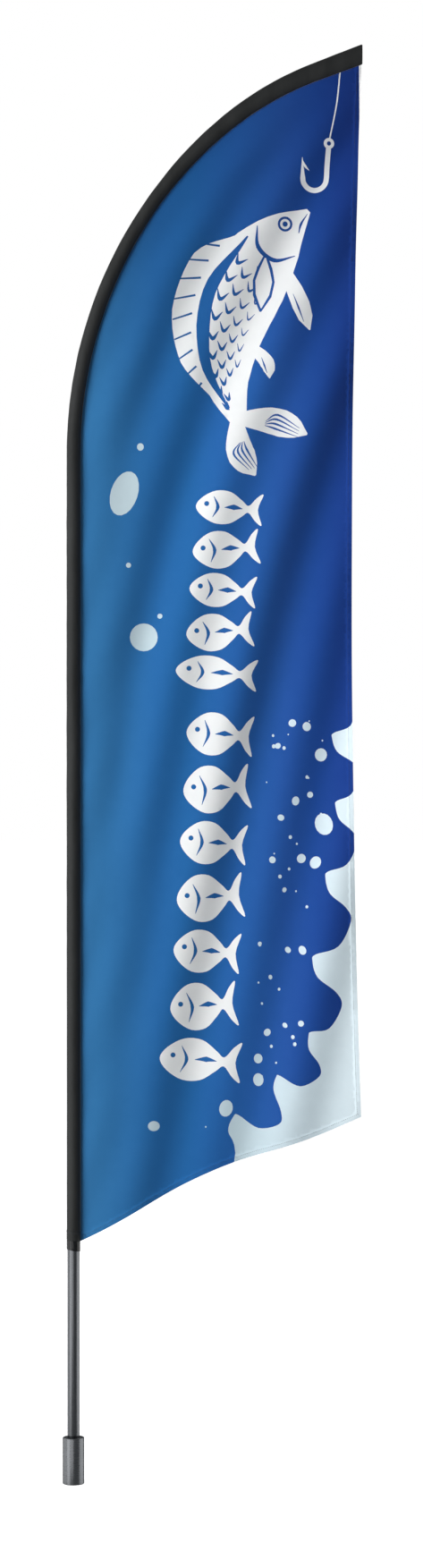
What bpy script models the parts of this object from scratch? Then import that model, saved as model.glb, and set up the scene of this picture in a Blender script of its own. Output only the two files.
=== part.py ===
"""A feather flag: a bowed mast in a swivelling ground socket, with a sleeved fabric panel.

Metres, +Z up. The origin is the centre of the socket's flat underside, on the swivel axis.
The mast bows towards +X, the panel hangs in the XZ plane and its printed front faces -Y.
"""

import math

import bmesh
import bpy
from mathutils import Vector

# Clearances
TOUCH_GAP = 0.0003  # faces that rest on, or are fixed in, each other
RUNNING_GAP = 0.0003  # faces that turn on each other
SLIDE_GAP = 0.0004  # walls of pieces that slide in each other

# Lower mast
BASE_TUBE_DIAMETER = 0.0286
BASE_TUBE_WALL = 0.0018
BASE_TUBE_LENGTH = 1.060
FOOT_FLANGE = 0.0020
FOOT_PLUG_LENGTH = 0.0200

# Upper mast
MID_TUBE_LENGTH = 1.080
MID_TUBE_WALL = 0.0016
MID_TUBE_OVERLAP = 0.130
STOP_RING_HEIGHT = 0.0120
REDUCER_LENGTH = 0.0600
REDUCER_WALL = 0.0009
REDUCER_FLANGE = 0.0060
UPPER_TUBE_LENGTH = 1.060
UPPER_TUBE_OVERLAP = 0.100
UPPER_TUBE_WALL = 0.0020
UPPER_TUBE_TAPER = 0.0020  # off its radius, by its upper end
TIP_FERRULE_LENGTH = 0.0250
TIP_FERRULE_WALL = 0.0010
TIP_ROD_OVERLAP = 0.0800
TIP_ROD_TAPER = 0.0011  # off its radius, by its upper end
TIP_CAP_WALL = 0.0026
TIP_CAP_LENGTH = 0.0200
TIP_CAP_BORE = 0.0130

# The bow: straight above the mid tube, an even curve, a tighter one, then a straight tip
STRAIGHT_ABOVE_MID_TUBE = 0.3650
BOW_EASE = 0.0400
BOW_EVEN_LENGTH = 0.7410
BOW_TIGHTENING_LENGTH = 0.2500
BOW_LENGTH = 1.1560
BOW_EVEN_RATE = math.radians(55.4)  # per metre of mast
BOW_TIGHT_RATE = math.radians(75.4)

# Turning cup
CUP_WALL = 0.0030
CUP_FLOOR = 0.0050
CUP_RECESS = 0.0008
CUP_PAD_THICKNESS = 0.0030
RETAINING_RING_THICKNESS = 0.0009
RETAINING_RING_GROOVE = 0.0009
RETAINING_RING_WIDTH = 0.0029
RETAINING_RING_SLOT = 0.0030

# Ball bearing
BEARING_BORE = 0.0170
BEARING_OUTSIDE = 0.0350
BEARING_WIDTH = 0.0100
BALL_DIAMETER = 0.0050
BALL_COUNT = 9
RACE_LAND = 0.0018  # from the balls' pitch circle to each race's land
CAGE_THICKNESS = 0.0012
CAGE_HEIGHT = 0.0024

# Ground socket
SOCKET_HEIGHT = 0.1100
SOCKET_WALL = 0.0050
SOCKET_SHOULDER = 0.0030
SOCKET_EDGE = 0.0010
BASE_PLUG_THICKNESS = 0.0080
BASE_PLUG_LIP = 0.0022  # how far the plug reaches out past the bearing seat
AXLE_ROOM = 0.0060  # between the plug and the bearing, for the axle's end
BUSH_WALL = 0.0022
BUSH_LENGTH = 0.0200
SEAL_LENGTH = 0.0050
SEAL_LIP = 0.0012
SEAL_RECESS = 0.0005

# Flag
SHOWN_POLE = 0.4415  # from the socket's rim to the collar
FLAG_WIDTH = 0.6800
SLEEVE_WALL = 0.0006
SLEEVE_TIP_SPREAD = 0.0124  # how much wider it lies at the tip
SLEEVE_TIP_ROOM = 0.0019  # between the tip cap and the flattened sleeve
SLEEVE_SPREAD_LENGTH = 0.6100
SLEEVE_HEM_SLOPE = math.radians(10)
POCKET_THICKNESS = 0.0025
PANEL_THICKNESS = 0.0015
PANEL_TOP_CORNER = 0.0120
HEM_RISE = 0.2940
HEM_SWELL = 0.0280
HEM_SWELL_SHARE = 0.907  # of the hem's width, from the sleeve
FREE_EDGE_BOW = 0.0220

# Folds in the panel, which lean and fan out below the mast's tip
FOLD_SPACING = 0.1700
FOLD_DEPTH = 0.0075
FOLD_START = 0.0350
FOLD_LEAN = 0.21
FOLD_FAN = 0.0533
FOLD_FAN_HEIGHT = 1.500
BILLOW_SPACING = 0.4600
BILLOW_DEPTH = 0.0090
SLEEVE_HOLD = 0.1100  # how far from the sleeve the seam keeps the cloth flat

# Tension collar and strap
COLLAR_HEIGHT = 0.0235
COLLAR_WALL = 0.0014
BOSS_DIAMETER = 0.0100
BOSS_LENGTH = 0.0065
INSERT_WALL = 0.0009
THUMBSCREW_DIAMETER = 0.0060
KNOB_DIAMETER = 0.0150
KNOB_LENGTH = 0.0080
STRAP_LENGTH = 0.1340
STRAP_WIDTH = 0.0160
STRAP_THICKNESS = 0.0014
TAB_WIDTH = 0.0200
TAB_BELOW_BOSS = 0.0115
TAB_ABOVE_BOSS = 0.0220
EYELET_BARREL = 0.0008
EYELET_FLANGE = 0.0023
EYELET_FLANGE_THICKNESS = 0.0005

# Fineness of the solids
TURN_STEPS = 32
SMALL_STEPS = 24  # pieces of the collar
CAP_STEPS = 16
DOME_POINTS = 6
SLEEVE_SIDES = 20
MAST_STEP = 0.001
BOW_STATIONS = 26
END_ROOM = 0.005  # the least space between a piece's end and a station of the bow
SLEEVE_STRAIGHT_STATIONS = 5
PANEL_COLUMNS = 12
PANEL_STRAIGHT_ROWS = 22

# Radii that follow from the dimensions above
TUBE_RADIUS = BASE_TUBE_DIAMETER / 2
TUBE_BORE = TUBE_RADIUS - BASE_TUBE_WALL
MID_TUBE_RADIUS = TUBE_BORE - SLIDE_GAP
MID_TUBE_BORE = MID_TUBE_RADIUS - MID_TUBE_WALL
REDUCER_RADIUS = MID_TUBE_BORE - TOUCH_GAP
REDUCER_BORE = REDUCER_RADIUS - REDUCER_WALL
UPPER_TUBE_RADIUS = REDUCER_BORE - TOUCH_GAP
UPPER_TUBE_END_RADIUS = UPPER_TUBE_RADIUS - UPPER_TUBE_TAPER
TIP_ROD_RADIUS = UPPER_TUBE_END_RADIUS - UPPER_TUBE_WALL - SLIDE_GAP
TIP_ROD_END_RADIUS = TIP_ROD_RADIUS - TIP_ROD_TAPER
TIP_CAP_RADIUS = TIP_ROD_END_RADIUS + SLIDE_GAP + TIP_CAP_WALL
CUP_BORE = TUBE_RADIUS + SLIDE_GAP
CUP_RADIUS = CUP_BORE + CUP_WALL
BUSH_BORE = CUP_RADIUS + RUNNING_GAP
BUSH_RADIUS = BUSH_BORE + BUSH_WALL
SOCKET_BORE = BUSH_RADIUS + TOUCH_GAP
SOCKET_RADIUS = SOCKET_BORE + SOCKET_WALL
BEARING_SEAT = BEARING_OUTSIDE / 2 + TOUCH_GAP
PITCH_RADIUS = (BEARING_BORE + BEARING_OUTSIDE) / 4
AXLE_RADIUS = BEARING_BORE / 2 - TOUCH_GAP
SLEEVE_RADIUS = TUBE_RADIUS + SLIDE_GAP + SLEEVE_WALL
SLEEVE_TIP_HALF_WIDTH = SLEEVE_RADIUS + SLEEVE_TIP_SPREAD / 2
SLEEVE_TIP_HALF_DEPTH = TIP_CAP_RADIUS + SLEEVE_TIP_ROOM + SLEEVE_WALL
COLLAR_BORE = TUBE_RADIUS + TOUCH_GAP
COLLAR_RADIUS = COLLAR_BORE + COLLAR_WALL
BOSS_RADIUS = BOSS_DIAMETER / 2
INSERT_BORE = THUMBSCREW_DIAMETER / 2 + TOUCH_GAP
INSERT_RADIUS = INSERT_BORE + INSERT_WALL

# Heights, from the ground up
BEARING_BOTTOM = BASE_PLUG_THICKNESS + AXLE_ROOM
BEARING_MIDDLE = BEARING_BOTTOM + BEARING_WIDTH / 2
BEARING_TOP = BEARING_BOTTOM + BEARING_WIDTH
SEAT_TOP = BEARING_TOP + TOUCH_GAP
CUP_SPACE_BOTTOM = SEAT_TOP + SOCKET_SHOULDER
CUP_BOTTOM = CUP_SPACE_BOTTOM + RUNNING_GAP
CUP_FLOOR_TOP = CUP_BOTTOM + CUP_FLOOR
PAD_BOTTOM = CUP_FLOOR_TOP + TOUCH_GAP
FOOT_BOTTOM = PAD_BOTTOM + CUP_PAD_THICKNESS + TOUCH_GAP
BASE_TUBE_BOTTOM = FOOT_BOTTOM + FOOT_FLANGE + TOUCH_GAP
BASE_TUBE_TOP = BASE_TUBE_BOTTOM + BASE_TUBE_LENGTH
MID_TUBE_BOTTOM = BASE_TUBE_TOP - MID_TUBE_OVERLAP
MID_TUBE_TOP = MID_TUBE_BOTTOM + MID_TUBE_LENGTH
UPPER_TUBE_BOTTOM = MID_TUBE_TOP - UPPER_TUBE_OVERLAP
UPPER_TUBE_TOP = UPPER_TUBE_BOTTOM + UPPER_TUBE_LENGTH  # along the mast
BOW_START = MID_TUBE_TOP + STRAIGHT_ABOVE_MID_TUBE
COLLAR_BOTTOM = SOCKET_HEIGHT + SHOWN_POLE
COLLAR_MIDDLE = COLLAR_BOTTOM + COLLAR_HEIGHT / 2
SLEEVE_BOTTOM = COLLAR_BOTTOM + COLLAR_HEIGHT + TOUCH_GAP
STRAP_BOTTOM = COLLAR_MIDDLE + TAB_ABOVE_BOSS + TOUCH_GAP

# Turns that bring a piece's own Z to +Y, and a flat outline into the XZ or YZ plane
BACKWARD = (-math.pi / 2, 0, 0)
UPRIGHT = (math.pi / 2, 0, 0)
UPRIGHT_SIDEWAYS = (math.pi / 2, 0, math.pi / 2)

# Depths behind the pole, from the mast's axis
EYELET_MIDDLE = COLLAR_RADIUS + TOUCH_GAP * 2 + EYELET_FLANGE_THICKNESS + STRAP_THICKNESS / 2
BOSS_END = COLLAR_RADIUS + BOSS_LENGTH


def share(value, low, high):
    """Where value lies between low and high, held to 0..1."""
    return min(max((value - low) / (high - low), 0.0), 1.0)


# The mast's axis and the outlines that follow it


def bow_rate(run):
    """Curvature of the mast, in radians per metre, at this run past the start of the bow."""
    if run <= 0 or run > BOW_LENGTH:
        return 0.0
    tightening = share(run, BOW_EVEN_LENGTH, BOW_EVEN_LENGTH + BOW_TIGHTENING_LENGTH)
    rate = BOW_EVEN_RATE + (BOW_TIGHT_RATE - BOW_EVEN_RATE) * tightening
    return rate * share(run, 0, BOW_EASE)


def bow_table():
    """(x, z, lean from upright) of the mast's axis at every MAST_STEP past the start of the bow."""
    x, z, lean = 0.0, BOW_START, 0.0
    table = [(x, z, lean)]
    while x < FLAG_WIDTH + SLEEVE_RADIUS:
        middle = lean + bow_rate((len(table) - 0.5) * MAST_STEP) * MAST_STEP / 2
        x += math.sin(middle) * MAST_STEP
        z += math.cos(middle) * MAST_STEP
        lean += bow_rate((len(table) - 0.5) * MAST_STEP) * MAST_STEP
        table.append((x, z, lean))
    return table


BOW = bow_table()


def mast_at(run):
    """The axis point, the direction along the mast and the direction to its inner side."""
    if run <= BOW_START:
        return Vector((0, 0, run)), Vector((0, 0, 1)), Vector((1, 0, 0))
    place = (run - BOW_START) / MAST_STEP
    index = min(int(place), len(BOW) - 2)
    mix = place - index
    low, high = BOW[index], BOW[index + 1]
    x, z, lean = (low[i] + (high[i] - low[i]) * mix for i in range(3))
    along = Vector((math.sin(lean), 0, math.cos(lean)))
    inward = Vector((math.cos(lean), 0, -math.sin(lean)))
    return Vector((x, 0, z)), along, inward


def mast_axis(run):
    return mast_at(run)[0]


def run_to(x, edge):
    """How far along the mast this line along it reaches x."""
    low, high = BOW_START, BOW_START + (len(BOW) - 1) * MAST_STEP
    while high - low > 1e-7:
        middle = (low + high) / 2
        low, high = (middle, high) if edge(middle).x < x else (low, middle)
    return low


MAST_END = run_to(FLAG_WIDTH, mast_axis)
SLEEVE_SPREAD_START = MAST_END - SLEEVE_SPREAD_LENGTH


def sleeve_section(run):
    """Half the sleeve's width, half its depth and its centre's shift inward from the mast's axis."""
    spread = share(run, SLEEVE_SPREAD_START, MAST_END)
    half_width = SLEEVE_RADIUS + (SLEEVE_TIP_HALF_WIDTH - SLEEVE_RADIUS) * spread
    half_depth = SLEEVE_RADIUS + (SLEEVE_TIP_HALF_DEPTH - SLEEVE_RADIUS) * spread
    return half_width, half_depth, half_width - SLEEVE_RADIUS


def inner_edge(run):
    """The sleeve's inner side, where the panel is sewn on."""
    point, _, inward = mast_at(run)
    half_width, _, shift = sleeve_section(run)
    return point + inward * (half_width + shift)


def outer_edge(run):
    """The sleeve's outer side."""
    point, _, inward = mast_at(run)
    return point - inward * SLEEVE_RADIUS


def spaced(first, last, count):
    """Count values, evenly from first to last."""
    return [first + (last - first) * i / (count - 1) for i in range(count)]


PANEL_END = run_to(FLAG_WIDTH, inner_edge)
BOW_RUNS = spaced(BOW_START, PANEL_END, BOW_STATIONS)
HEM_START = SLEEVE_BOTTOM - SLEEVE_RADIUS * math.tan(SLEEVE_HEM_SLOPE)


# Building blocks


def collection_named(name):
    made = bpy.data.collections.new(name)
    bpy.context.scene.collection.children.link(made)
    return made


def finish(name, colour, roughness, metallic=0.0):
    """A plain Principled material; colour is linear RGB."""
    material = bpy.data.materials.new(name)
    material.use_nodes = True
    shader = material.node_tree.nodes["Principled BSDF"]
    shader.inputs["Base Color"].default_value = (*colour, 1)
    shader.inputs["Roughness"].default_value = roughness
    shader.inputs["Metallic"].default_value = metallic
    return material


def body_empty(name, location=(0, 0, 0), parent=None):
    """An empty on a joint's axis, which carries the pieces that move together."""
    empty = bpy.data.objects.new(name, None)
    empty.empty_display_size = 0.03
    PARTS.objects.link(empty)
    empty.parent = parent
    empty.location = Vector(location) - (parent.matrix_world.translation if parent else Vector())
    bpy.context.view_layer.update()
    return empty


def place(obj, body, material, location=(0, 0, 0), rotation=(0, 0, 0)):
    """Puts an object at this world place, in its finish and on its body."""
    for old in list(obj.users_collection):
        old.objects.unlink(obj)
    PARTS.objects.link(obj)
    obj.data.materials.clear()
    obj.data.materials.append(material)
    obj.parent = body
    obj.location = Vector(location) - body.matrix_world.translation
    obj.rotation_euler = rotation
    return obj


def profile_object(name, profile):
    """An object whose mesh is a (radius, height) outline, open where it starts and ends on the axis."""
    mesh = bpy.data.meshes.new(name)
    count = len(profile)
    edges = [(i, i + 1) for i in range(count - 1)]
    if profile[0][0] > 0:
        edges.append((count - 1, 0))
    mesh.from_pydata([(radius, 0, height) for radius, height in profile], edges, [])
    return bpy.data.objects.new(name, mesh)


def turned(name, profile, steps=TURN_STEPS):
    """A profile turned about its Z axis; its outer side runs from the top down."""
    obj = profile_object(name, profile)
    screw = obj.modifiers.new("turn", "SCREW")
    screw.steps = steps
    screw.render_steps = steps
    screw.use_merge_vertices = True
    screw.merge_threshold = 0.00001
    screw.use_smooth_shade = True
    return obj


def ring(outer, inner, bottom, top):
    """The profile of a plain ring or tube."""
    return [(outer, top), (outer, bottom), (inner, bottom), (inner, top)]


def disc(radius, bottom, top):
    """The profile of a solid disc."""
    return [(0, top), (radius, top), (radius, bottom), (0, bottom)]


def mast_curve(name, runs, radius_at, capped):
    """A round rod along the mast, or an open skin for a tube's outer face."""
    curve = bpy.data.curves.new(name, "CURVE")
    curve.dimensions = "3D"
    curve.bevel_depth = 1.0
    curve.bevel_resolution = 4
    curve.use_fill_caps = capped
    spline = curve.splines.new("POLY")
    spline.points.add(len(runs) - 1)
    for point, run in zip(spline.points, runs):
        point.co = (*mast_at(run)[0], 1)
        point.radius = radius_at(run)
    return bpy.data.objects.new(name, curve)


def solidify(obj, thickness, offset=-1.0):
    """Gives an open skin its wall; the offset of -1 puts it inside the skin."""
    wall = obj.modifiers.new("wall", "SOLIDIFY")
    wall.thickness = thickness
    wall.offset = offset
    wall.use_even_offset = True
    return obj


def cutter(obj):
    """Keeps a helper solid out of the part."""
    for old in list(obj.users_collection):
        old.objects.unlink(obj)
    CUTTERS.objects.link(obj)
    obj.hide_render = True
    obj.display_type = "WIRE"
    return obj


def cylinder_back(name, radius, near, far):
    """A helper cylinder behind the pole, along Y at the collar's middle."""
    middle = (0, (near + far) / 2, COLLAR_MIDDLE)
    bpy.ops.mesh.primitive_cylinder_add(
        vertices=SMALL_STEPS, radius=radius, depth=far - near, location=middle, rotation=BACKWARD
    )
    made = bpy.context.object
    made.name = name
    return cutter(made)


def box(name, size, middle, rotation=(0, 0, 0)):
    """A box with its size in its mesh, so that its scale stays 1."""
    bpy.ops.mesh.primitive_cube_add(size=1, location=middle, rotation=rotation)
    made = bpy.context.object
    made.name = name
    made.data.name = name
    for vertex in made.data.vertices:
        vertex.co = Vector(size) * vertex.co
    return made


def boolean(obj, operation, other):
    """Joins, cuts or keeps what obj shares with a helper solid."""
    step = obj.modifiers.new(operation.lower(), "BOOLEAN")
    step.operation = operation
    step.solver = "EXACT"
    step.object = other


def circle_points(radius, count, start=0.0):
    """Count points evenly round a circle, the first at this angle."""
    angles = [start + 2 * math.pi * i / count for i in range(count)]
    return [(radius * math.cos(angle), radius * math.sin(angle)) for angle in angles]


def plate(name, outlines, thickness):
    """A flat outline with its holes, given its thickness both ways from its plane."""
    curve = bpy.data.curves.new(name, "CURVE")
    curve.dimensions = "2D"
    curve.fill_mode = "BOTH"
    curve.extrude = thickness / 2
    for outline in outlines:
        spline = curve.splines.new("POLY")
        spline.points.add(len(outline) - 1)
        spline.use_cyclic_u = True
        for point, (x, y) in zip(spline.points, outline):
            point.co = (x, y, 0, 1)
    return bpy.data.objects.new(name, curve)


# Ground socket


def socket_housing():
    """Turned body: plug recess, bearing seat and shoulder below, the cup's space above."""
    plug_bore = BEARING_SEAT + BASE_PLUG_LIP
    plug_top = BASE_PLUG_THICKNESS + TOUCH_GAP
    shoulder = BEARING_SEAT - BASE_PLUG_LIP
    return turned(
        "socket_housing",
        [
            (SOCKET_BORE, SOCKET_HEIGHT),
            (SOCKET_RADIUS - SOCKET_EDGE, SOCKET_HEIGHT),
            (SOCKET_RADIUS, SOCKET_HEIGHT - SOCKET_EDGE),
            (SOCKET_RADIUS, SOCKET_EDGE),
            (SOCKET_RADIUS - SOCKET_EDGE, 0),
            (plug_bore, 0),
            (plug_bore, plug_top),
            (BEARING_SEAT, plug_top),
            (BEARING_SEAT, SEAT_TOP),
            (shoulder, SEAT_TOP),
            (shoulder, CUP_SPACE_BOTTOM),
            (SOCKET_BORE, CUP_SPACE_BOTTOM),
        ],
    )


def base_plug():
    """Disc that closes the housing; its raised rim holds the bearing's outer race up."""
    plug_radius = BEARING_SEAT + BASE_PLUG_LIP - TOUCH_GAP
    rim_radius = BEARING_OUTSIDE / 2
    rim_bore = rim_radius - BASE_PLUG_LIP
    rim_top = BEARING_BOTTOM - TOUCH_GAP
    return turned(
        "base_plug",
        [
            (0, BASE_PLUG_THICKNESS),
            (rim_bore, BASE_PLUG_THICKNESS),
            (rim_bore, rim_top),
            (rim_radius, rim_top),
            (rim_radius, BASE_PLUG_THICKNESS),
            (plug_radius, BASE_PLUG_THICKNESS),
            (plug_radius, 0),
            (0, 0),
        ],
    )


def groove(side):
    """The balls' track in a race, from the top down; side is 1 in the outer race, -1 in the inner."""
    radius = BALL_DIAMETER / 2 + RUNNING_GAP
    reach = math.acos(RACE_LAND / radius)
    return [
        (PITCH_RADIUS + side * radius * math.cos(angle), BEARING_MIDDLE + radius * math.sin(angle))
        for angle in spaced(reach, -reach, 5)
    ]


def bearing_outer_race():
    outside = BEARING_OUTSIDE / 2
    land = PITCH_RADIUS + RACE_LAND
    return turned(
        "bearing_outer_race",
        [(outside, BEARING_TOP), (outside, BEARING_BOTTOM), (land, BEARING_BOTTOM)]
        + groove(1)[::-1]
        + [(land, BEARING_TOP)],
    )


def bearing_inner_race():
    bore = BEARING_BORE / 2
    land = PITCH_RADIUS - RACE_LAND
    return turned(
        "bearing_inner_race",
        [(land, BEARING_TOP)]
        + groove(-1)
        + [(land, BEARING_BOTTOM), (bore, BEARING_BOTTOM), (bore, BEARING_TOP)],
    )


def bearing_cage():
    """A ring through the balls, which keeps them evenly apart; each ball sits on a flat of it."""
    steps = BALL_COUNT * 4
    cage = turned(
        "bearing_cage",
        ring(
            PITCH_RADIUS + CAGE_THICKNESS / 2,
            PITCH_RADIUS - CAGE_THICKNESS / 2,
            BEARING_MIDDLE - CAGE_HEIGHT / 2,
            BEARING_MIDDLE + CAGE_HEIGHT / 2,
        ),
        steps,
    )
    mesh = bpy.data.meshes.new("balls")
    balls = bmesh.new()
    for x, y in circle_points(PITCH_RADIUS, BALL_COUNT, math.pi / steps):
        ball = bmesh.ops.create_icosphere(balls, subdivisions=2, radius=BALL_DIAMETER / 2)
        bmesh.ops.translate(balls, verts=ball["verts"], vec=(x, y, BEARING_MIDDLE))
    balls.to_mesh(mesh)
    balls.free()
    boolean(cage, "UNION", cutter(bpy.data.objects.new("balls", mesh)))
    return cage


def seal_heights():
    """The seal's bottom and top; the bush ends just under it."""
    top = SOCKET_HEIGHT - SEAL_RECESS
    return top - SEAL_LENGTH, top


def socket_bush():
    top = seal_heights()[0] - TOUCH_GAP
    return turned("socket_bush", ring(BUSH_RADIUS, BUSH_BORE, top - BUSH_LENGTH, top))


def dust_seal():
    """Rubber ring whose top slopes down to its lip at the cup."""
    bottom, top = seal_heights()
    return turned(
        "dust_seal",
        [(BUSH_RADIUS, top), (BUSH_RADIUS, bottom), (BUSH_BORE, bottom), (BUSH_BORE, top - SEAL_LIP)],
    )


# Turning cup


def ring_groove():
    """The retaining ring's groove: bottom and top, just under the inner race."""
    top = BEARING_BOTTOM - TOUCH_GAP
    return top - RETAINING_RING_THICKNESS - 2 * TOUCH_GAP, top


def pole_cup():
    """Cup for the mast's foot, with a shoulder on the inner race and a grooved axle in its bore."""
    rim = SOCKET_HEIGHT - CUP_RECESS
    edge = CUP_WALL / 3
    groove_bottom, groove_top = ring_groove()
    groove_radius = AXLE_RADIUS - RETAINING_RING_GROOVE
    shoulder = PITCH_RADIUS - RACE_LAND
    axle_end = BASE_PLUG_THICKNESS + AXLE_ROOM / 4
    return turned(
        "pole_cup",
        [
            (0, CUP_FLOOR_TOP),
            (CUP_BORE, CUP_FLOOR_TOP),
            (CUP_BORE, rim - edge),
            (CUP_BORE + edge, rim),
            (CUP_RADIUS, rim),
            (CUP_RADIUS, CUP_BOTTOM),
            (shoulder, CUP_BOTTOM),
            (shoulder, BEARING_TOP + TOUCH_GAP),
            (AXLE_RADIUS, BEARING_TOP + TOUCH_GAP),
            (AXLE_RADIUS, groove_top),
            (groove_radius, groove_top),
            (groove_radius, groove_bottom),
            (AXLE_RADIUS, groove_bottom),
            (AXLE_RADIUS, axle_end),
            (0, axle_end),
        ],
    )


def retaining_ring():
    """Spring ring in the axle's groove, open on one side."""
    bottom = ring_groove()[0] + TOUCH_GAP
    bore = AXLE_RADIUS - RETAINING_RING_GROOVE + TOUCH_GAP
    outside = bore + RETAINING_RING_WIDTH
    made = turned(
        "retaining_ring", ring(outside, bore, bottom, bottom + RETAINING_RING_THICKNESS)
    )
    slot = box(
        "ring_slot",
        (outside * 2, RETAINING_RING_SLOT, RETAINING_RING_THICKNESS * 4),
        (outside, 0, bottom),
    )
    boolean(made, "DIFFERENCE", cutter(slot))
    return made


def cup_pad():
    return turned(
        "cup_pad", disc(CUP_BORE - TOUCH_GAP, PAD_BOTTOM, PAD_BOTTOM + CUP_PAD_THICKNESS)
    )


# Lower mast


def base_tube_foot():
    """Plug with a flange as wide as the tube, pushed into its lower end."""
    plug_radius = TUBE_BORE - TOUCH_GAP
    flange_top = FOOT_BOTTOM + FOOT_FLANGE
    return turned(
        "base_tube_foot",
        [
            (0, flange_top + FOOT_PLUG_LENGTH),
            (plug_radius, flange_top + FOOT_PLUG_LENGTH),
            (plug_radius, flange_top),
            (TUBE_RADIUS, flange_top),
            (TUBE_RADIUS, FOOT_BOTTOM),
            (0, FOOT_BOTTOM),
        ],
    )


def base_tube():
    return turned("base_tube", ring(TUBE_RADIUS, TUBE_BORE, BASE_TUBE_BOTTOM, BASE_TUBE_TOP))


# Upper mast


def mid_tube():
    return turned("mid_tube", ring(MID_TUBE_RADIUS, MID_TUBE_BORE, MID_TUBE_BOTTOM, MID_TUBE_TOP))


def mid_stop_ring():
    """Ring fixed on the mid tube, which stops on the base tube's rim."""
    bottom = BASE_TUBE_TOP + TOUCH_GAP
    return turned(
        "mid_stop_ring",
        ring(TUBE_RADIUS, MID_TUBE_RADIUS + TOUCH_GAP, bottom, bottom + STOP_RING_HEIGHT),
    )


def reducer_bush():
    """Flanged bush in the mid tube's top, which takes the thinner upper tube."""
    flange_bottom = MID_TUBE_TOP + TOUCH_GAP
    flange_top = flange_bottom + REDUCER_FLANGE
    bush_bottom = flange_bottom - REDUCER_LENGTH
    return turned(
        "reducer_bush",
        [
            (MID_TUBE_RADIUS, flange_top),
            (MID_TUBE_RADIUS, flange_bottom),
            (REDUCER_RADIUS, flange_bottom),
            (REDUCER_RADIUS, bush_bottom),
            (REDUCER_BORE, bush_bottom),
            (REDUCER_BORE, flange_top),
        ],
    )


def mast_runs(first, last):
    """Stations from first to last: few where the mast is straight, and shared ones where it bends.

    Every end in the bow is a station of all the pieces, so nested ones keep their gap.
    """
    straight = [first, (first + BOW_START) / 2] if first < BOW_START else [first]
    ends = [UPPER_TUBE_TOP - TIP_ROD_OVERLAP, UPPER_TUBE_TOP - TIP_FERRULE_LENGTH, UPPER_TUBE_TOP]
    clear = [run for run in BOW_RUNS if min(abs(run - end) for end in ends) > END_ROOM]
    return straight + [run for run in sorted(ends + clear) if first < run < last] + [last]


def upper_tube_radius(run):
    """The upper tube tapers from its full radius, where it leaves the mid tube, to its end."""
    return UPPER_TUBE_RADIUS - UPPER_TUBE_TAPER * share(run, MID_TUBE_TOP, UPPER_TUBE_TOP)


def upper_tube():
    skin = mast_curve(
        "upper_tube", mast_runs(UPPER_TUBE_BOTTOM, UPPER_TUBE_TOP), upper_tube_radius, False
    )
    return solidify(skin, UPPER_TUBE_WALL)


def tip_ferrule():
    """Metal ring round the upper tube's end, where the tip rod goes in."""
    def outside(run):
        return upper_tube_radius(run) + SLIDE_GAP + TIP_FERRULE_WALL

    runs = mast_runs(UPPER_TUBE_TOP - TIP_FERRULE_LENGTH, UPPER_TUBE_TOP)
    return solidify(mast_curve("tip_ferrule", runs, outside, False), TIP_FERRULE_WALL)


def cap_start():
    """How far along the mast the tip cap's open end lies; its domed end stays inside the sleeve."""
    return MAST_END - POCKET_THICKNESS - TIP_CAP_LENGTH


def tip_rod():
    """Solid rod that tapers from its seat in the upper tube to the tip cap."""
    last = cap_start() + TIP_CAP_BORE - TOUCH_GAP

    def radius(run):
        return TIP_ROD_RADIUS - TIP_ROD_TAPER * share(run, UPPER_TUBE_TOP, last)

    return mast_curve("tip_rod", mast_runs(UPPER_TUBE_TOP - TIP_ROD_OVERLAP, last), radius, True)


def tip_cap():
    """Rubber cap with a domed end and a blind bore, pushed onto the rod; built along its own Z."""
    bore = TIP_ROD_END_RADIUS + SLIDE_GAP
    dome_start = TIP_CAP_LENGTH - TIP_CAP_RADIUS
    dome = [
        (TIP_CAP_RADIUS * math.sin(angle), dome_start + TIP_CAP_RADIUS * math.cos(angle))
        for angle in spaced(0, math.pi / 2, DOME_POINTS)
    ]
    open_end = [(TIP_CAP_RADIUS, 0), (bore, 0), (bore, TIP_CAP_BORE), (0, TIP_CAP_BORE)]
    return turned("tip_cap", dome + open_end, CAP_STEPS)


# Sleeve, panel and strap


def lofted_sleeve():
    """Open skin from the mast's round lower sections to the wide, flat ones at its tip."""
    below_hem = SLEEVE_BOTTOM - SLEEVE_RADIUS
    straight = spaced(SLEEVE_BOTTOM + SLEEVE_RADIUS, BOW_START, SLEEVE_STRAIGHT_STATIONS)[:-1]
    past_tip = PANEL_END + (BOW_RUNS[1] - BOW_RUNS[0])
    runs = [below_hem] + straight + BOW_RUNS + [past_tip]
    skin = bmesh.new()
    rings = []
    for run in runs:
        point, _, inward = mast_at(run)
        half_width, half_depth, shift = sleeve_section(run)
        section = []
        for cosine, sine in circle_points(1, SLEEVE_SIDES):
            across = inward * (shift + half_width * cosine)
            section.append(skin.verts.new(point + across + Vector((0, -half_depth * sine, 0))))
        rings.append(section)
    for low, high in zip(rings, rings[1:]):
        for i in range(SLEEVE_SIDES):
            j = (i + 1) % SLEEVE_SIDES
            skin.faces.new((low[i], high[i], high[j], low[j]))
    return skin


def trim(skin, point, outward):
    """Removes what lies beyond a plane and leaves the skin open there."""
    geometry = skin.verts[:] + skin.edges[:] + skin.faces[:]
    bmesh.ops.bisect_plane(skin, geom=geometry, plane_co=point, plane_no=outward, clear_outer=True)


def hem_plane():
    """A point on the sleeve's lower hem and the hem's downward direction, square to its slope."""
    slope = SLEEVE_HEM_SLOPE
    return Vector((0, 0, SLEEVE_BOTTOM)), Vector((-math.sin(slope), 0, -math.cos(slope)))


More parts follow.
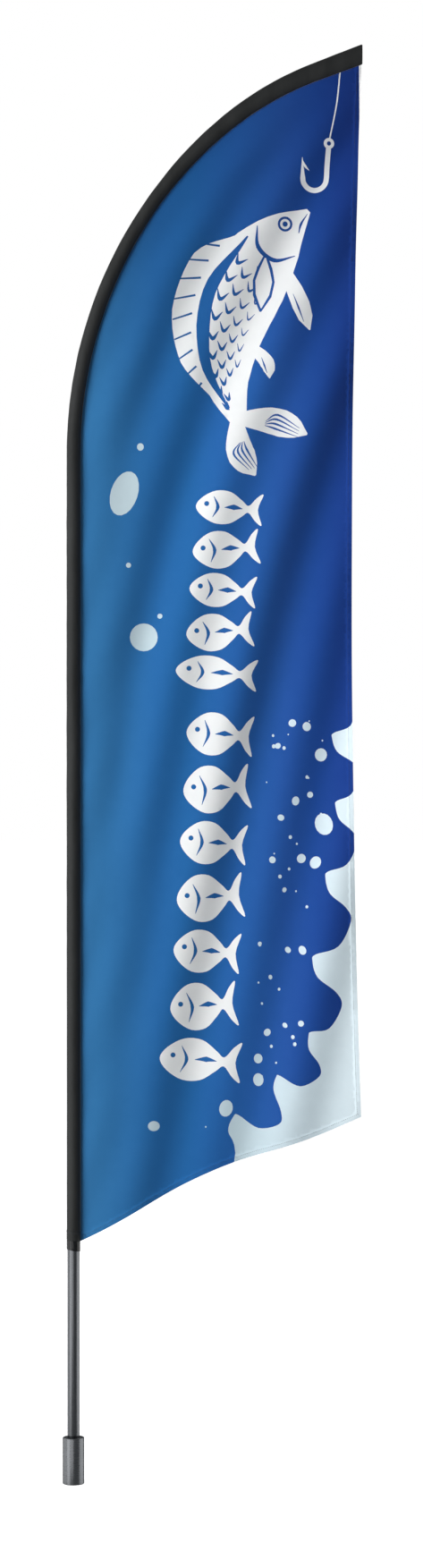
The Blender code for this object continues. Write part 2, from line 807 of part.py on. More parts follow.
def pole_sleeve():
    """Fabric tube round the mast, cut on the hem's slope below and upright at the flag's width."""
    skin = lofted_sleeve()
    trim(skin, *hem_plane())
    trim(skin, (FLAG_WIDTH, 0, 0), (1, 0, 0))
    bmesh.ops.recalc_face_normals(skin, faces=skin.faces)
    mesh = bpy.data.meshes.new("pole_sleeve")
    skin.to_mesh(mesh)
    skin.free()
    mesh.shade_smooth()
    return solidify(bpy.data.objects.new("pole_sleeve", mesh), SLEEVE_WALL)


def sleeve_mouth():
    """The lowest and highest point of the sleeve's upright cut."""
    return inner_edge(PANEL_END).z, outer_edge(run_to(FLAG_WIDTH, outer_edge)).z


def sleeve_tip_pocket():
    """Flat end sewn over the sleeve's mouth; its outline's Y is the height."""
    bottom, top = sleeve_mouth()
    outline = [
        (y * SLEEVE_TIP_HALF_DEPTH, z * (top - bottom) / 2)
        for y, z in circle_points(1, SLEEVE_SIDES)
    ]
    return plate("sleeve_tip_pocket", [outline], POCKET_THICKNESS)


def panel_left(run):
    """The panel's sewn edge, just off the sleeve."""
    return inner_edge(run) + mast_at(run)[2] * TOUCH_GAP


def panel_right(height_share):
    """The panel's free edge, which bows in between its corners."""
    top = inner_edge(PANEL_END).z - PANEL_TOP_CORNER
    bottom = HEM_START + HEM_RISE
    bow = FREE_EDGE_BOW * 4 * height_share * (1 - height_share)
    return Vector((FLAG_WIDTH - bow, 0, bottom + (top - bottom) * height_share))


def hem_swell(width_share):
    """How far the lower hem stands above a straight line between its ends."""
    return HEM_SWELL * math.sin(math.pi * share(width_share, 0, HEM_SWELL_SHARE)) ** 2


def fold_shift(height):
    """How far a fold has moved sideways at this height, as it leans and fans out."""
    above = max(height - FOLD_FAN_HEIGHT, 0)
    return FOLD_LEAN * height + FOLD_FAN * above**3


def fold_depth(x, z, from_sleeve):
    """The cloth's depth behind the XZ plane: leaning folds on a broad billow, none at the seam."""
    held = 1 - math.exp(-((from_sleeve / SLEEVE_HOLD) ** 2))
    turns = (x - fold_shift(z) - FOLD_START) / FOLD_SPACING
    broad_turns = (x - fold_shift(z) - FOLD_START) / BILLOW_SPACING
    folds = FOLD_DEPTH * math.sin(2 * math.pi * turns)
    billow = BILLOW_DEPTH * math.sin(2 * math.pi * broad_turns)
    return held * (folds + billow)


def sleeve_distance(point):
    """From a point of the panel to the sewn edge."""
    nearest = min((panel_left(run) - point).length for run in BOW_RUNS)
    if point.z < BOW_START:
        nearest = min(nearest, point.x - panel_left(BOW_START).x)
    return nearest


def flag_panel():
    """Cloth panel: rows from the sewn edge to the free edge, laid into folds, then given its wall."""
    runs = spaced(HEM_START, BOW_START, PANEL_STRAIGHT_ROWS)[:-1] + BOW_RUNS
    cloth = bmesh.new()
    rows = []
    for run in runs:
        height_share = (run - runs[0]) / (runs[-1] - runs[0])
        left, right = panel_left(run), panel_right(height_share)
        row = []
        for width_share in spaced(0, 1, PANEL_COLUMNS + 1):
            point = left.lerp(right, width_share)
            point.z += hem_swell(width_share) * (1 - height_share) ** 4
            point.y = fold_depth(point.x, point.z, sleeve_distance(point))
            row.append(cloth.verts.new(point))
        rows.append(row)
    for low, high in zip(rows, rows[1:]):
        for i in range(PANEL_COLUMNS):
            cloth.faces.new((low[i], low[i + 1], high[i + 1], high[i]))
    mesh = bpy.data.meshes.new("flag_panel")
    cloth.to_mesh(mesh)
    cloth.free()
    mesh.shade_smooth()
    return solidify(bpy.data.objects.new("flag_panel", mesh), PANEL_THICKNESS, 0.0)


def tension_strap():
    size = (STRAP_WIDTH, STRAP_THICKNESS, STRAP_LENGTH)
    return box("tension_strap", size, (0, EYELET_MIDDLE, STRAP_BOTTOM + STRAP_LENGTH / 2))


# Tension collar; pieces behind the pole are built along their own Z and then turned to +Y


def tension_collar():
    """Ring with the same slanted ends as the sleeve's hem, and a bored boss at the rear."""
    bottom = COLLAR_BOTTOM - COLLAR_HEIGHT
    top = SLEEVE_BOTTOM + COLLAR_HEIGHT
    made = turned("tension_collar", ring(COLLAR_RADIUS, COLLAR_BORE, bottom, top))
    slab_size = (COLLAR_RADIUS * 4, COLLAR_RADIUS * 4, COLLAR_HEIGHT * math.cos(SLEEVE_HEM_SLOPE))
    slab = box("collar_slab", slab_size, (0, 0, COLLAR_MIDDLE), (0, SLEEVE_HEM_SLOPE, 0))
    boolean(made, "INTERSECT", cutter(slab))
    wall_middle = (COLLAR_BORE + COLLAR_RADIUS) / 2
    boolean(made, "UNION", cylinder_back("collar_boss", BOSS_RADIUS, wall_middle, BOSS_END))
    bore_radius = INSERT_RADIUS + TOUCH_GAP
    bore = cylinder_back("boss_bore", bore_radius, COLLAR_BORE / 2, BOSS_END + BOSS_LENGTH)
    boolean(made, "DIFFERENCE", bore)
    return made


def collar_insert():
    """Threaded insert in the boss, flush with its end."""
    profile = ring(INSERT_RADIUS, INSERT_BORE, COLLAR_RADIUS, BOSS_END)
    return turned("collar_insert", profile, SMALL_STEPS)


def collar_thumbscrew():
    """Screw whose end stops at the tube, with a round knob behind the boss."""
    shank = THUMBSCREW_DIAMETER / 2
    knob = KNOB_DIAMETER / 2
    edge = KNOB_LENGTH / 8
    start = TUBE_RADIUS + TOUCH_GAP
    knob_start = BOSS_END + TOUCH_GAP
    knob_end = knob_start + KNOB_LENGTH
    return turned(
        "collar_thumbscrew",
        [
            (0, knob_end),
            (knob - edge, knob_end),
            (knob, knob_end - edge),
            (knob, knob_start + edge),
            (knob - edge, knob_start),
            (shank, knob_start),
            (shank, start),
            (0, start),
        ],
        SMALL_STEPS,
    )


def eyelet_bore():
    return BOSS_RADIUS + TOUCH_GAP


def strap_tab():
    """Webbing end with a round hole for the eyelet; its outline's Y is the height."""
    half = TAB_WIDTH / 2
    outline = [
        (-half, -TAB_BELOW_BOSS),
        (half, -TAB_BELOW_BOSS),
        (half, TAB_ABOVE_BOSS),
        (-half, TAB_ABOVE_BOSS),
    ]
    hole = circle_points(eyelet_bore() + EYELET_BARREL + TOUCH_GAP, SMALL_STEPS)
    return plate("strap_tab", [outline, hole], STRAP_THICKNESS)


def strap_eyelet():
    """Barrel through the tab with a flange on each face."""
    inner = eyelet_bore()
    barrel = inner + EYELET_BARREL
    flange = barrel + EYELET_FLANGE
    face = STRAP_THICKNESS / 2 + TOUCH_GAP
    end = face + EYELET_FLANGE_THICKNESS
    return turned(
        "strap_eyelet",
        [
            (flange, end),
            (flange, face),
            (barrel, face),
            (barrel, -face),
            (flange, -face),
            (flange, -end),
            (inner, -end),
            (inner, end),
        ],
        SMALL_STEPS,
    )


for startup_object in list(bpy.data.objects):
    bpy.data.objects.remove(startup_object, do_unlink=True)
PARTS = collection_named("feather_flag")
CUTTERS = collection_named("cutters")

GREY_ALUMINIUM = finish("grey_aluminium", (0.27, 0.28, 0.29), 0.32, 1.0)
BRIGHT_STEEL = finish("bright_steel", (0.55, 0.55, 0.56), 0.22, 1.0)
BRASS = finish("brass", (0.62, 0.45, 0.18), 0.30, 1.0)
NICKEL = finish("nickel_plate", (0.60, 0.59, 0.56), 0.25, 1.0)
BLACK_PLASTIC = finish("black_plastic", (0.012, 0.012, 0.013), 0.30)
GREY_PLASTIC = finish("grey_plastic", (0.16, 0.16, 0.16), 0.50)
BLACK_RUBBER = finish("black_rubber", (0.015, 0.015, 0.015), 0.75)
GLASS_FIBRE = finish("glass_fibre", (0.03, 0.03, 0.032), 0.35)
SLEEVE_CLOTH = finish("sleeve_cloth", (0.025, 0.026, 0.025), 0.65)
PANEL_CLOTH = finish("panel_cloth", (0.022, 0.13, 0.37), 0.70)
BLACK_WEBBING = finish("black_webbing", (0.02, 0.02, 0.02), 0.80)

SOCKET = body_empty("socket")
CAGE = body_empty("ball_cage", parent=SOCKET)
CUP = body_empty("cup", parent=SOCKET)
LOWER_MAST = body_empty("lower_mast", parent=CUP)
FLAG = body_empty("flag", (0, 0, BASE_TUBE_TOP), parent=LOWER_MAST)
COLLAR = body_empty("collar", (0, 0, COLLAR_MIDDLE), parent=FLAG)
THUMBSCREW = body_empty("thumbscrew", (0, BOSS_END, COLLAR_MIDDLE), parent=COLLAR)

place(socket_housing(), SOCKET, GREY_ALUMINIUM)
place(base_plug(), SOCKET, GREY_ALUMINIUM)
place(bearing_outer_race(), SOCKET, BRIGHT_STEEL)
place(socket_bush(), SOCKET, GREY_PLASTIC)
place(dust_seal(), SOCKET, BLACK_RUBBER)
place(bearing_cage(), CAGE, BRIGHT_STEEL)

place(pole_cup(), CUP, GREY_ALUMINIUM)
place(bearing_inner_race(), CUP, BRIGHT_STEEL)
place(retaining_ring(), CUP, BRIGHT_STEEL)
place(cup_pad(), CUP, BLACK_RUBBER)

place(base_tube_foot(), LOWER_MAST, BLACK_PLASTIC)
place(base_tube(), LOWER_MAST, GREY_ALUMINIUM)

place(mid_tube(), FLAG, GREY_ALUMINIUM)
place(mid_stop_ring(), FLAG, BLACK_PLASTIC)
place(reducer_bush(), FLAG, BLACK_PLASTIC)
place(upper_tube(), FLAG, GLASS_FIBRE)
place(tip_ferrule(), FLAG, BRIGHT_STEEL)
place(tip_rod(), FLAG, GLASS_FIBRE)
CAP_POINT, CAP_DIRECTION, _ = mast_at(cap_start())
place(tip_cap(), FLAG, BLACK_RUBBER, CAP_POINT, CAP_DIRECTION.to_track_quat("Z", "Y").to_euler())

place(pole_sleeve(), FLAG, SLEEVE_CLOTH)
POCKET_MIDDLE = (FLAG_WIDTH + TOUCH_GAP + POCKET_THICKNESS / 2, 0, sum(sleeve_mouth()) / 2)
place(sleeve_tip_pocket(), FLAG, SLEEVE_CLOTH, POCKET_MIDDLE, UPRIGHT_SIDEWAYS)
place(flag_panel(), FLAG, PANEL_CLOTH)
place(tension_strap(), FLAG, BLACK_WEBBING, (0, EYELET_MIDDLE, STRAP_BOTTOM + STRAP_LENGTH / 2))

place(tension_collar(), COLLAR, BLACK_PLASTIC)
place(collar_insert(), COLLAR, BRASS, (0, 0, COLLAR_MIDDLE), BACKWARD)
place(strap_tab(), COLLAR, BLACK_WEBBING, (0, EYELET_MIDDLE, COLLAR_MIDDLE), UPRIGHT)
place(strap_eyelet(), COLLAR, NICKEL, (0, EYELET_MIDDLE, COLLAR_MIDDLE), BACKWARD)

place(collar_thumbscrew(), THUMBSCREW, BLACK_PLASTIC, (0, 0, COLLAR_MIDDLE), BACKWARD)
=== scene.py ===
import random
from math import cos, exp, pi, radians, sin, tan

import bmesh
import bpy
import numpy as np
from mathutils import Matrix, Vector, geometry


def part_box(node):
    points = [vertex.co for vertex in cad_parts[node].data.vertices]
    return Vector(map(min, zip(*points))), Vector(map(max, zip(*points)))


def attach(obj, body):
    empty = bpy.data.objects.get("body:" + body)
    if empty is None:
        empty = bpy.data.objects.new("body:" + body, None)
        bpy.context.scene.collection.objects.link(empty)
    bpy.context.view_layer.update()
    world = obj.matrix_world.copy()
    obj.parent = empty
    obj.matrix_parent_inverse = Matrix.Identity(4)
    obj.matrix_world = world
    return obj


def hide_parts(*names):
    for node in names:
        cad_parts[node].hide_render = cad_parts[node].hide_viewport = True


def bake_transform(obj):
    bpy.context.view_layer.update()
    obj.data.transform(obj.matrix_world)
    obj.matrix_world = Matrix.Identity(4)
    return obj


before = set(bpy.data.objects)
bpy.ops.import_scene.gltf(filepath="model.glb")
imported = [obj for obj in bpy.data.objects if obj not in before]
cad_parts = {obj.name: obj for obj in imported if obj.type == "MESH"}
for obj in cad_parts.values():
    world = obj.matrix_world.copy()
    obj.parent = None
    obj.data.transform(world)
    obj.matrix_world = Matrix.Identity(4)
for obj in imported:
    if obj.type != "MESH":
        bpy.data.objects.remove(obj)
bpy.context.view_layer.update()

scene = bpy.context.scene

# ---------------- camera and studio
# A long lens stands eight metres off, level with the middle of the flag and square to it.
# The floor is a white painted studio floor, and tall softboxes draw the stripes on the pole.
CAMERA_DISTANCE = 8.0
FRAME_HEIGHT = 3.7055  # metres of height that the picture takes in, at the mast
SENSOR = 36.0


def placed(name, data):
    """A new object in the scene, at the origin, that shows this data and lends it its name."""
    data.name = name
    thing = bpy.data.objects.new(name, data)
    scene.collection.objects.link(thing)
    return thing


camera_lens = bpy.data.cameras.new("camera")
camera_lens.sensor_fit = "VERTICAL"
camera_lens.sensor_height = SENSOR
camera_lens.lens = SENSOR * CAMERA_DISTANCE / FRAME_HEIGHT
camera_lens.clip_end = 500
camera = placed("camera", camera_lens)
camera.location = (0.3262, -CAMERA_DISTANCE, 1.653)
camera.rotation_euler = (pi / 2, 0, 0)
scene.camera = camera
scene.view_settings.view_transform = "Standard"


def paint(hex_code):
    """A colour as the shaders take it, from its sRGB hex value."""
    values = [int(hex_code[i : i + 2], 16) / 255 for i in (1, 3, 5)]
    linear = [v / 12.92 if v <= 0.04045 else ((v + 0.055) / 1.055) ** 2.4 for v in values]
    return (*linear, 1.0)


def add_node(tree, kind, inputs=None, **settings):
    """A node with its settings; an input given a node or a socket is linked, any other is set."""
    node = tree.nodes.new(kind)
    for name, value in settings.items():
        setattr(node, name, value)
    for name, value in (inputs or {}).items():
        if isinstance(value, bpy.types.Node):
            value = value.outputs[0]
        if isinstance(value, bpy.types.NodeSocket):
            tree.links.new(value, node.inputs[name])
        else:
            node.inputs[name].default_value = value
    return node


studio = bpy.data.worlds.new("studio")
studio.use_nodes = True
sky = studio.node_tree
sky.nodes.clear()
scene.world = studio
backdrop = add_node(sky, "ShaderNodeBackground", {"Color": (1, 1, 1, 1), "Strength": 1.0})
room = add_node(sky, "ShaderNodeBackground", {"Color": (0.92, 0.96, 1, 1), "Strength": 0.17})
to_camera = add_node(sky, "ShaderNodeLightPath").outputs["Is Camera Ray"]
seen_or_lit = add_node(sky, "ShaderNodeMixShader", {0: to_camera, 1: room, 2: backdrop})
add_node(sky, "ShaderNodeOutputWorld", {"Surface": seen_or_lit})
LIGHT_HEIGHT = 1.4


def softbox(name, around, distance, size, power, lights="both"):
    """A soft area light that stands round the mast, in degrees from the camera towards +X."""
    light = bpy.data.lights.new(name, "AREA")
    light.shape = "RECTANGLE"
    light.size, light.size_y = size
    light.energy = power
    lamp = placed(name, light)
    angle = radians(around)
    lamp.location = (distance * sin(angle), -distance * cos(angle), LIGHT_HEIGHT)
    lamp.rotation_euler = (pi / 2, 0, angle)
    lamp.visible_camera = False
    lamp.visible_glossy = lights != "cloth"
    lamp.visible_diffuse = lights != "gloss"


# Three lamps light the cloth; four faint screens are only there for the metal to mirror.
softbox("key_softbox", -52, 4.5, (1.9, 5.2), 398, "cloth")
softbox("front_fill", -8, 6.0, (3.6, 4.6), 20, "cloth")
softbox("back_softbox", 150, 5.0, (3.0, 5.2), 200, "cloth")
softbox("left_screen", -54, 4.5, (3.2, 7.0), 106, "gloss")
softbox("left_back_screen", -104, 4.5, (4.0, 7.0), 76, "gloss")
softbox("right_screen", 101, 4.5, (5.4, 7.0), 114, "gloss")
softbox("front_screen", -15, 6.5, (3.6, 7.0), 72, "gloss")


def start_finish(name, **constants):
    """A material, its tree, its shader with these constants, and the place on the object."""
    material = bpy.data.materials.new(name)
    material.use_nodes = True
    tree = material.node_tree
    shader = tree.nodes["Principled BSDF"]
    for socket, value in constants.items():
        shader.inputs[socket.replace("_", " ")].default_value = value
    return material, tree, shader, add_node(tree, "ShaderNodeTexCoord").outputs["Object"]


def grain(tree, shader, place, per_metre, colours, roughness, depth, strength):
    """Uneven colour, shine and relief from one noise, with so many grains per metre each way."""
    scaled = add_node(tree, "ShaderNodeMapping", {"Vector": place, "Scale": per_metre})
    cloud = add_node(
        tree, "ShaderNodeTexNoise",
        {"Vector": scaled, "Scale": 1.0, "Detail": 4.0, "Roughness": 0.55}
    ).outputs["Fac"]
    tone = add_node(
        tree, "ShaderNodeMapRange", {"Value": cloud, "From Min": 0.3, "From Max": 0.7}
    ).outputs[0]
    mixed = add_node(
        tree, "ShaderNodeMix", {0: tone, 6: paint(colours[0]), 7: paint(colours[1])},
        data_type="RGBA"
    ).outputs[2]
    shine = add_node(
        tree, "ShaderNodeMapRange", {"Value": tone, "To Min": roughness[0], "To Max": roughness[1]}
    )
    relief = add_node(
        tree, "ShaderNodeBump", {"Strength": strength, "Distance": depth, "Height": cloud}
    )
    tree.links.new(mixed, shader.inputs["Base Color"])
    tree.links.new(shine.outputs[0], shader.inputs["Roughness"])
    tree.links.new(relief.outputs[0], shader.inputs["Normal"])
    return relief


def finish(name, per_metre, colours, roughness, depth, strength, **constants):
    """A material whose look is one grain and these constants."""
    material, tree, shader, place = start_finish(name, **constants)
    grain(tree, shader, place, per_metre, colours, roughness, depth, strength)
    return material


# Painted studio floor: white, rolled on, so it shines in a faint uneven way.
floor_paint = finish(
    "rolled_white_floor_paint", (9, 9, 9), ("#f4f4f4", "#fafafa"), (0.26, 0.34), 0.0004, 0.1,
    Emission_Color=(1, 1, 1, 1), Emission_Strength=0.90
)
FLOOR_REACH = 90.0
floor_mesh = bpy.data.meshes.new("studio_floor")
corners = [(-1, -1), (1, -1), (1, 1), (-1, 1)]
floor_mesh.from_pydata(
    [(x * FLOOR_REACH, y * FLOOR_REACH, -0.0004) for x, y in corners], [], [(0, 1, 2, 3)]
)
floor_mesh.materials.append(floor_paint)
floor = placed("studio_floor", floor_mesh)
floor.visible_diffuse = False
floor.visible_glossy = False

# ---------------- ground socket
# The short, thick body at the foot stands still while the mast turns in it. It is turned from
# aluminium bar and anodised grey, with its edges broken, and the bearing is pressed in from below.
SOCKET_BORE = 0.0205
EDGE_BREAK = 0.0005

SOCKET_RADIUS, _, SOCKET_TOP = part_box("socket_housing")[1]


def softened(profile, edge):
    """The closed profile with each corner rounded over in three points; the axis stays sharp."""
    corners = [Vector(point) for point in profile]
    result = []
    for before, here, after in zip(corners[-1:] + corners, corners, corners[1:] + corners[:1]):
        back, ahead = before - here, after - here
        if here.x < 1e-6:
            result.append(here)
            continue
        back *= min(edge / back.length, 0.4)
        ahead *= min(edge / ahead.length, 0.4)
        result += [here + back, here + (back + ahead) * 0.29, here + ahead]
    return result


def add_piece(name, mesh, material, body, slot, *nodes):
    """Puts a finished mesh on its body, as the stand-in for these nodes."""
    if material:
        mesh.materials.append(material)
    piece = placed(name, mesh)
    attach(piece, body)
    if nodes:
        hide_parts(*nodes)
    return piece


def bridge(shape, rings):
    """Four-sided faces between each ring of points and the next."""
    for low, high in zip(rings, rings[1:]):
        for i in range(len(low)):
            j = (i + 1) % len(low)
            shape.faces.new((low[i], low[j], high[j], high[i]))


def as_mesh(shape):
    """The shape as a plain mesh; the shape itself is freed."""
    mesh = bpy.data.meshes.new("shape")
    shape.to_mesh(mesh)
    shape.free()
    return mesh


def closed_mesh(shape, crease=None):
    """The closed shape as a smooth mesh, faces outward, sharp where it turns past the crease."""
    bmesh.ops.recalc_face_normals(shape, faces=shape.faces)
    mesh = as_mesh(shape)
    mesh.shade_smooth()
    if crease:
        mesh.set_sharp_from_angle(angle=radians(crease))
    return mesh


def circle(count, first=0.0):
    """Cosine and sine at this many even steps round a circle."""
    angles = [2 * pi * (i + first) / count for i in range(count)]
    return [(cos(angle), sin(angle)) for angle in angles]


def turned(profile, edge=EDGE_BREAK, sides=96):
    """A closed profile of (radius, height) turned about Z, with its corners softened."""
    shape = bmesh.new()
    rings = []
    for radius, height in softened(profile, edge):
        spots = circle(sides)[: sides if radius > 1e-6 else 1]
        rings.append([shape.verts.new((radius * x, radius * y, height)) for x, y in spots])
    for upper, lower in zip(rings, rings[1:] + rings[:1]):
        if len(upper) == len(lower) == 1:
            continue
        for i in range(sides):
            j = (i + 1) % sides
            loop = [upper[i % len(upper)], upper[j % len(upper)]]
            loop += [lower[j % len(lower)], lower[i % len(lower)]]
            shape.faces.new(list(dict.fromkeys(loop)))
    return closed_mesh(shape, 50)


def hollow(radius, bore, low, high):
    """The profile of a plain ring or tube."""
    return [(radius, high), (radius, low), (bore, low), (bore, high)]


def dress(material, *nodes):
    """Gives these carried-over nodes their finish."""
    for node in nodes:
        for material_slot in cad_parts[node].material_slots:
            material_slot.material = material


# Anodised aluminium, turned: a soft grey metal with fine rings round it, drawn 1 mm apart where
# real tool marks lie 0.1 mm apart.
turned_aluminium = finish(
    "turned_anodised_aluminium", (60, 60, 1000), ("#7b7d80", "#898b8e"), (0.24, 0.33), 0.00004,
    0.25, Metallic=1.0
)

PLUG_RADIUS, PLUG_TOP = 0.0200, 0.0083
RACE_SEAT_RADIUS, RACE_TOP = 0.0178, 0.0243
THROAT_RADIUS, SHOULDER_TOP = 0.0156, 0.0273
TOP_BEVEL, FOOT_BEVEL = 0.0014, 0.0012
socket = turned(
    [
        (SOCKET_BORE, SOCKET_TOP), (SOCKET_RADIUS - TOP_BEVEL, SOCKET_TOP),
        (SOCKET_RADIUS, SOCKET_TOP - TOP_BEVEL), (SOCKET_RADIUS, FOOT_BEVEL),
        (SOCKET_RADIUS - FOOT_BEVEL, 0), (PLUG_RADIUS, 0), (PLUG_RADIUS, PLUG_TOP),
        (RACE_SEAT_RADIUS, PLUG_TOP), (RACE_SEAT_RADIUS, RACE_TOP), (THROAT_RADIUS, RACE_TOP),
        (THROAT_RADIUS, SHOULDER_TOP), (SOCKET_BORE, SHOULDER_TOP)
    ],
    sides=128
)
add_piece(
    "ground_socket", socket, turned_aluminium, "socket", "anodised_aluminium", "socket_housing"
)
dress(turned_aluminium, "base_plug")

# ---------------- bearing and bush
# A ball bearing carries the cup: ground steel rings, and nine balls kept apart by a pressed cage.
# A plastic bush near the mouth steadies the cup, and a rubber ring keeps sand out.

# Ground bearing steel: bright, with very fine marks, drawn 0.5 mm apart.
ground_steel = finish(
    "ground_bearing_steel", (300, 300, 2000), ("#b9babb", "#cfd0d1"), (0.14, 0.24), 0.00002, 0.2,
    Metallic=1.0
)
dress(ground_steel, "bearing_outer_race", "bearing_inner_race", "bearing_cage", "retaining_ring")

# Moulded grey acetal: a waxy, even surface with a slight mottle.
moulded_grey = finish(
    "moulded_grey_acetal", (700, 700, 700), ("#5f6061", "#6a6b6c"), (0.42, 0.52), 0.00004, 0.3,
    IOR=1.48
)
dress(moulded_grey, "socket_bush")

# Moulded nitrile rubber: dull black, dusty grey where it has been rubbed.
nitrile = finish(
    "moulded_nitrile_rubber", (900, 900, 900), ("#17181a", "#26272a"), (0.66, 0.82), 0.00008, 0.5,
    IOR=1.52
)
dress(nitrile, "cup_pad", "tip_cap")

SEAL_RADIUS, SEAL_BORE, SEAL_LIP = 0.0202, 0.0180, 0.0012
seal_low, seal_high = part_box("dust_seal")
seal = turned(
    [
        (SEAL_RADIUS, seal_high[2]), (SEAL_RADIUS, seal_low[2]), (SEAL_BORE, seal_low[2]),
        (SEAL_BORE, seal_high[2] - SEAL_LIP)
    ],
    0.0003
)
add_piece("mouth_seal", seal, nitrile, "socket", "black_rubber", "dust_seal")

# ---------------- turning cup
# The cup takes the mast's foot and turns on a stub axle in the bearing. It is one turned piece of
# the same aluminium; only its chamfered rim shows, in the socket's mouth.
CUP_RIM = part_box("pole_cup")[1][2]
CUP_BORE, CUP_RADIUS = 0.0147, 0.0177
CUP_FLOOR, CUP_UNDERSIDE = 0.0326, 0.0276
COLLAR_STEP_RADIUS = 0.01120
AXLE_RADIUS, AXLE_END = 0.0082, 0.0095
CLIP_GROOVE_RADIUS, CLIP_GROOVE = 0.0073, (0.0122, 0.0137)
cup = turned(
    [
        (0, CUP_FLOOR), (CUP_BORE, CUP_FLOOR), (CUP_BORE, CUP_RIM - 0.0010),
        (CUP_BORE + 0.0010, CUP_RIM), (CUP_RADIUS, CUP_RIM), (CUP_RADIUS, CUP_UNDERSIDE),
        (COLLAR_STEP_RADIUS, CUP_UNDERSIDE), (COLLAR_STEP_RADIUS, RACE_TOP),
        (AXLE_RADIUS, RACE_TOP), (AXLE_RADIUS, CLIP_GROOVE[1]),
        (CLIP_GROOVE_RADIUS, CLIP_GROOVE[1]), (CLIP_GROOVE_RADIUS, CLIP_GROOVE[0]),
        (AXLE_RADIUS, CLIP_GROOVE[0]), (AXLE_RADIUS, AXLE_END), (0, AXLE_END)
    ],
    0.0003
)
add_piece("turning_cup", cup, turned_aluminium, "cup", "anodised_aluminium", "pole_cup")

# ---------------- lower mast
# The visible grey pole: a drawn aluminium tube, anodised, that stands in the cup and runs on
# inside the sleeve. A plastic plug closes its foot.
tube_low, tube_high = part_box("base_tube")
TUBE_RADIUS, TUBE_FOOT, TUBE_TOP = tube_high[0], tube_low[2], tube_high[2]
TUBE_WALL = 0.0018

# Drawn and anodised aluminium: a satin grey with faint lines along the tube, drawn 1.5 mm apart
# where real draw marks lie 0.2 mm apart, and a few dull rubbed places.
drawn_aluminium = finish(
    "drawn_anodised_aluminium", (650, 650, 9), ("#75777a", "#838588"), (0.23, 0.31), 0.00004, 0.2,
    Metallic=1.0
)
tube = turned(hollow(TUBE_RADIUS, TUBE_RADIUS - TUBE_WALL, TUBE_FOOT, TUBE_TOP))
add_piece("lower_pole", tube, drawn_aluminium, "lower_mast", "anodised_aluminium", "base_tube")
dress(drawn_aluminium, "mid_tube")

# Moulded black nylon: fine spark-eroded texture, half matt.
moulded_black = finish(
    "moulded_black_nylon", (1200, 1200, 1200), ("#101112", "#18191b"), (0.36, 0.5), 0.00005, 0.4,
    IOR=1.53
)
dress(moulded_black, "base_tube_foot", "mid_stop_ring", "reducer_bush")

# ---------------- upper mast
# Inside the sleeve a glass-fibre tube and a tapered rod follow the mid tube and take the bow;
# a steel ferrule binds the tube's end and a rubber cap saves the cloth from the rod.

# Pultruded glass fibre: black resin with pale fibres along it, drawn 2 mm apart.
glass_fibre = finish(
    "pultruded_glass_fibre", (500, 500, 12), ("#1b1c1d", "#34363a"), (0.28, 0.4), 0.00005, 0.4,
    IOR=1.55
)
dress(glass_fibre, "upper_tube", "tip_rod")
dress(ground_steel, "tip_ferrule")

# ---------------- pole sleeve
# A tube of black polyester cloth sewn along the mast side of the flag. The mast bows inside it;
# it is hemmed on a slope above the collar, lies wider at the tip and ends in a sewn patch.
FLAG_WIDTH = 0.680
SLEEVE_RADIUS = 0.0153
SLEEVE_WALL = 0.0006
TIP_HALF_WIDTH = 0.0215
TIP_HALF_DEPTH = 0.0090
SPREAD_LENGTH = 0.610
HEM_SLOPE = radians(10)
MAST_STEP = 0.001
BOW_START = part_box("mid_tube")[1][2] + 0.365
BOW_EASE = 0.040
BOW_EVEN_LENGTH = 0.741
BOW_TIGHTENING_LENGTH = 0.250
BOW_LENGTH = 1.156
BOW_EVEN_RATE = radians(55.4)
BOW_TIGHT_RATE = radians(75.4)
COLLAR_MIDDLE = 0.56325
SLEEVE_BOTTOM = 0.5753
SEAM_GAP = 0.0003  # between the sleeve and what is sewn to it


def share(value, low, high):
    """Where value lies between low and high, held to 0..1."""
    return min(max((value - low) / (high - low), 0.0), 1.0)


def bow_rate(run):
    """How sharply the mast bends at this run past the start of its bow."""
    if run <= 0 or run > BOW_LENGTH:
        return 0.0
    tightening = share(run, BOW_EVEN_LENGTH, BOW_EVEN_LENGTH + BOW_TIGHTENING_LENGTH)
    rate = BOW_EVEN_RATE + (BOW_TIGHT_RATE - BOW_EVEN_RATE) * tightening
    return rate * share(run, 0, BOW_EASE)


bow = [(0.0, BOW_START, 0.0)]
while bow[-1][0] < FLAG_WIDTH + SLEEVE_RADIUS:
    x, z, lean = bow[-1]
    turn = bow_rate((len(bow) - 0.5) * MAST_STEP) * MAST_STEP
    x += sin(lean + turn / 2) * MAST_STEP
    z += cos(lean + turn / 2) * MAST_STEP
    bow.append((x, z, lean + turn))


def mast_at(run):
    """A point of the mast's axis and the direction to its inner side."""
    if run <= BOW_START:
        return Vector((0, 0, run)), Vector((1, 0, 0))
    place = (run - BOW_START) / MAST_STEP
    index = min(int(place), len(bow) - 2)
    x, z, lean = (a + (b - a) * (place - index) for a, b in zip(bow[index], bow[index + 1]))
    return Vector((x, 0, z)), Vector((cos(lean), 0, -sin(lean)))


def run_to(x, edge):
    """How far along the mast this line along it reaches x."""
    low, high = BOW_START, BOW_START + (len(bow) - 1) * MAST_STEP
    while high - low > 1e-7:
        middle = (low + high) / 2
        low, high = (middle, high) if edge(middle).x < x else (low, middle)
    return low


MAST_END = run_to(FLAG_WIDTH, lambda run: mast_at(run)[0])


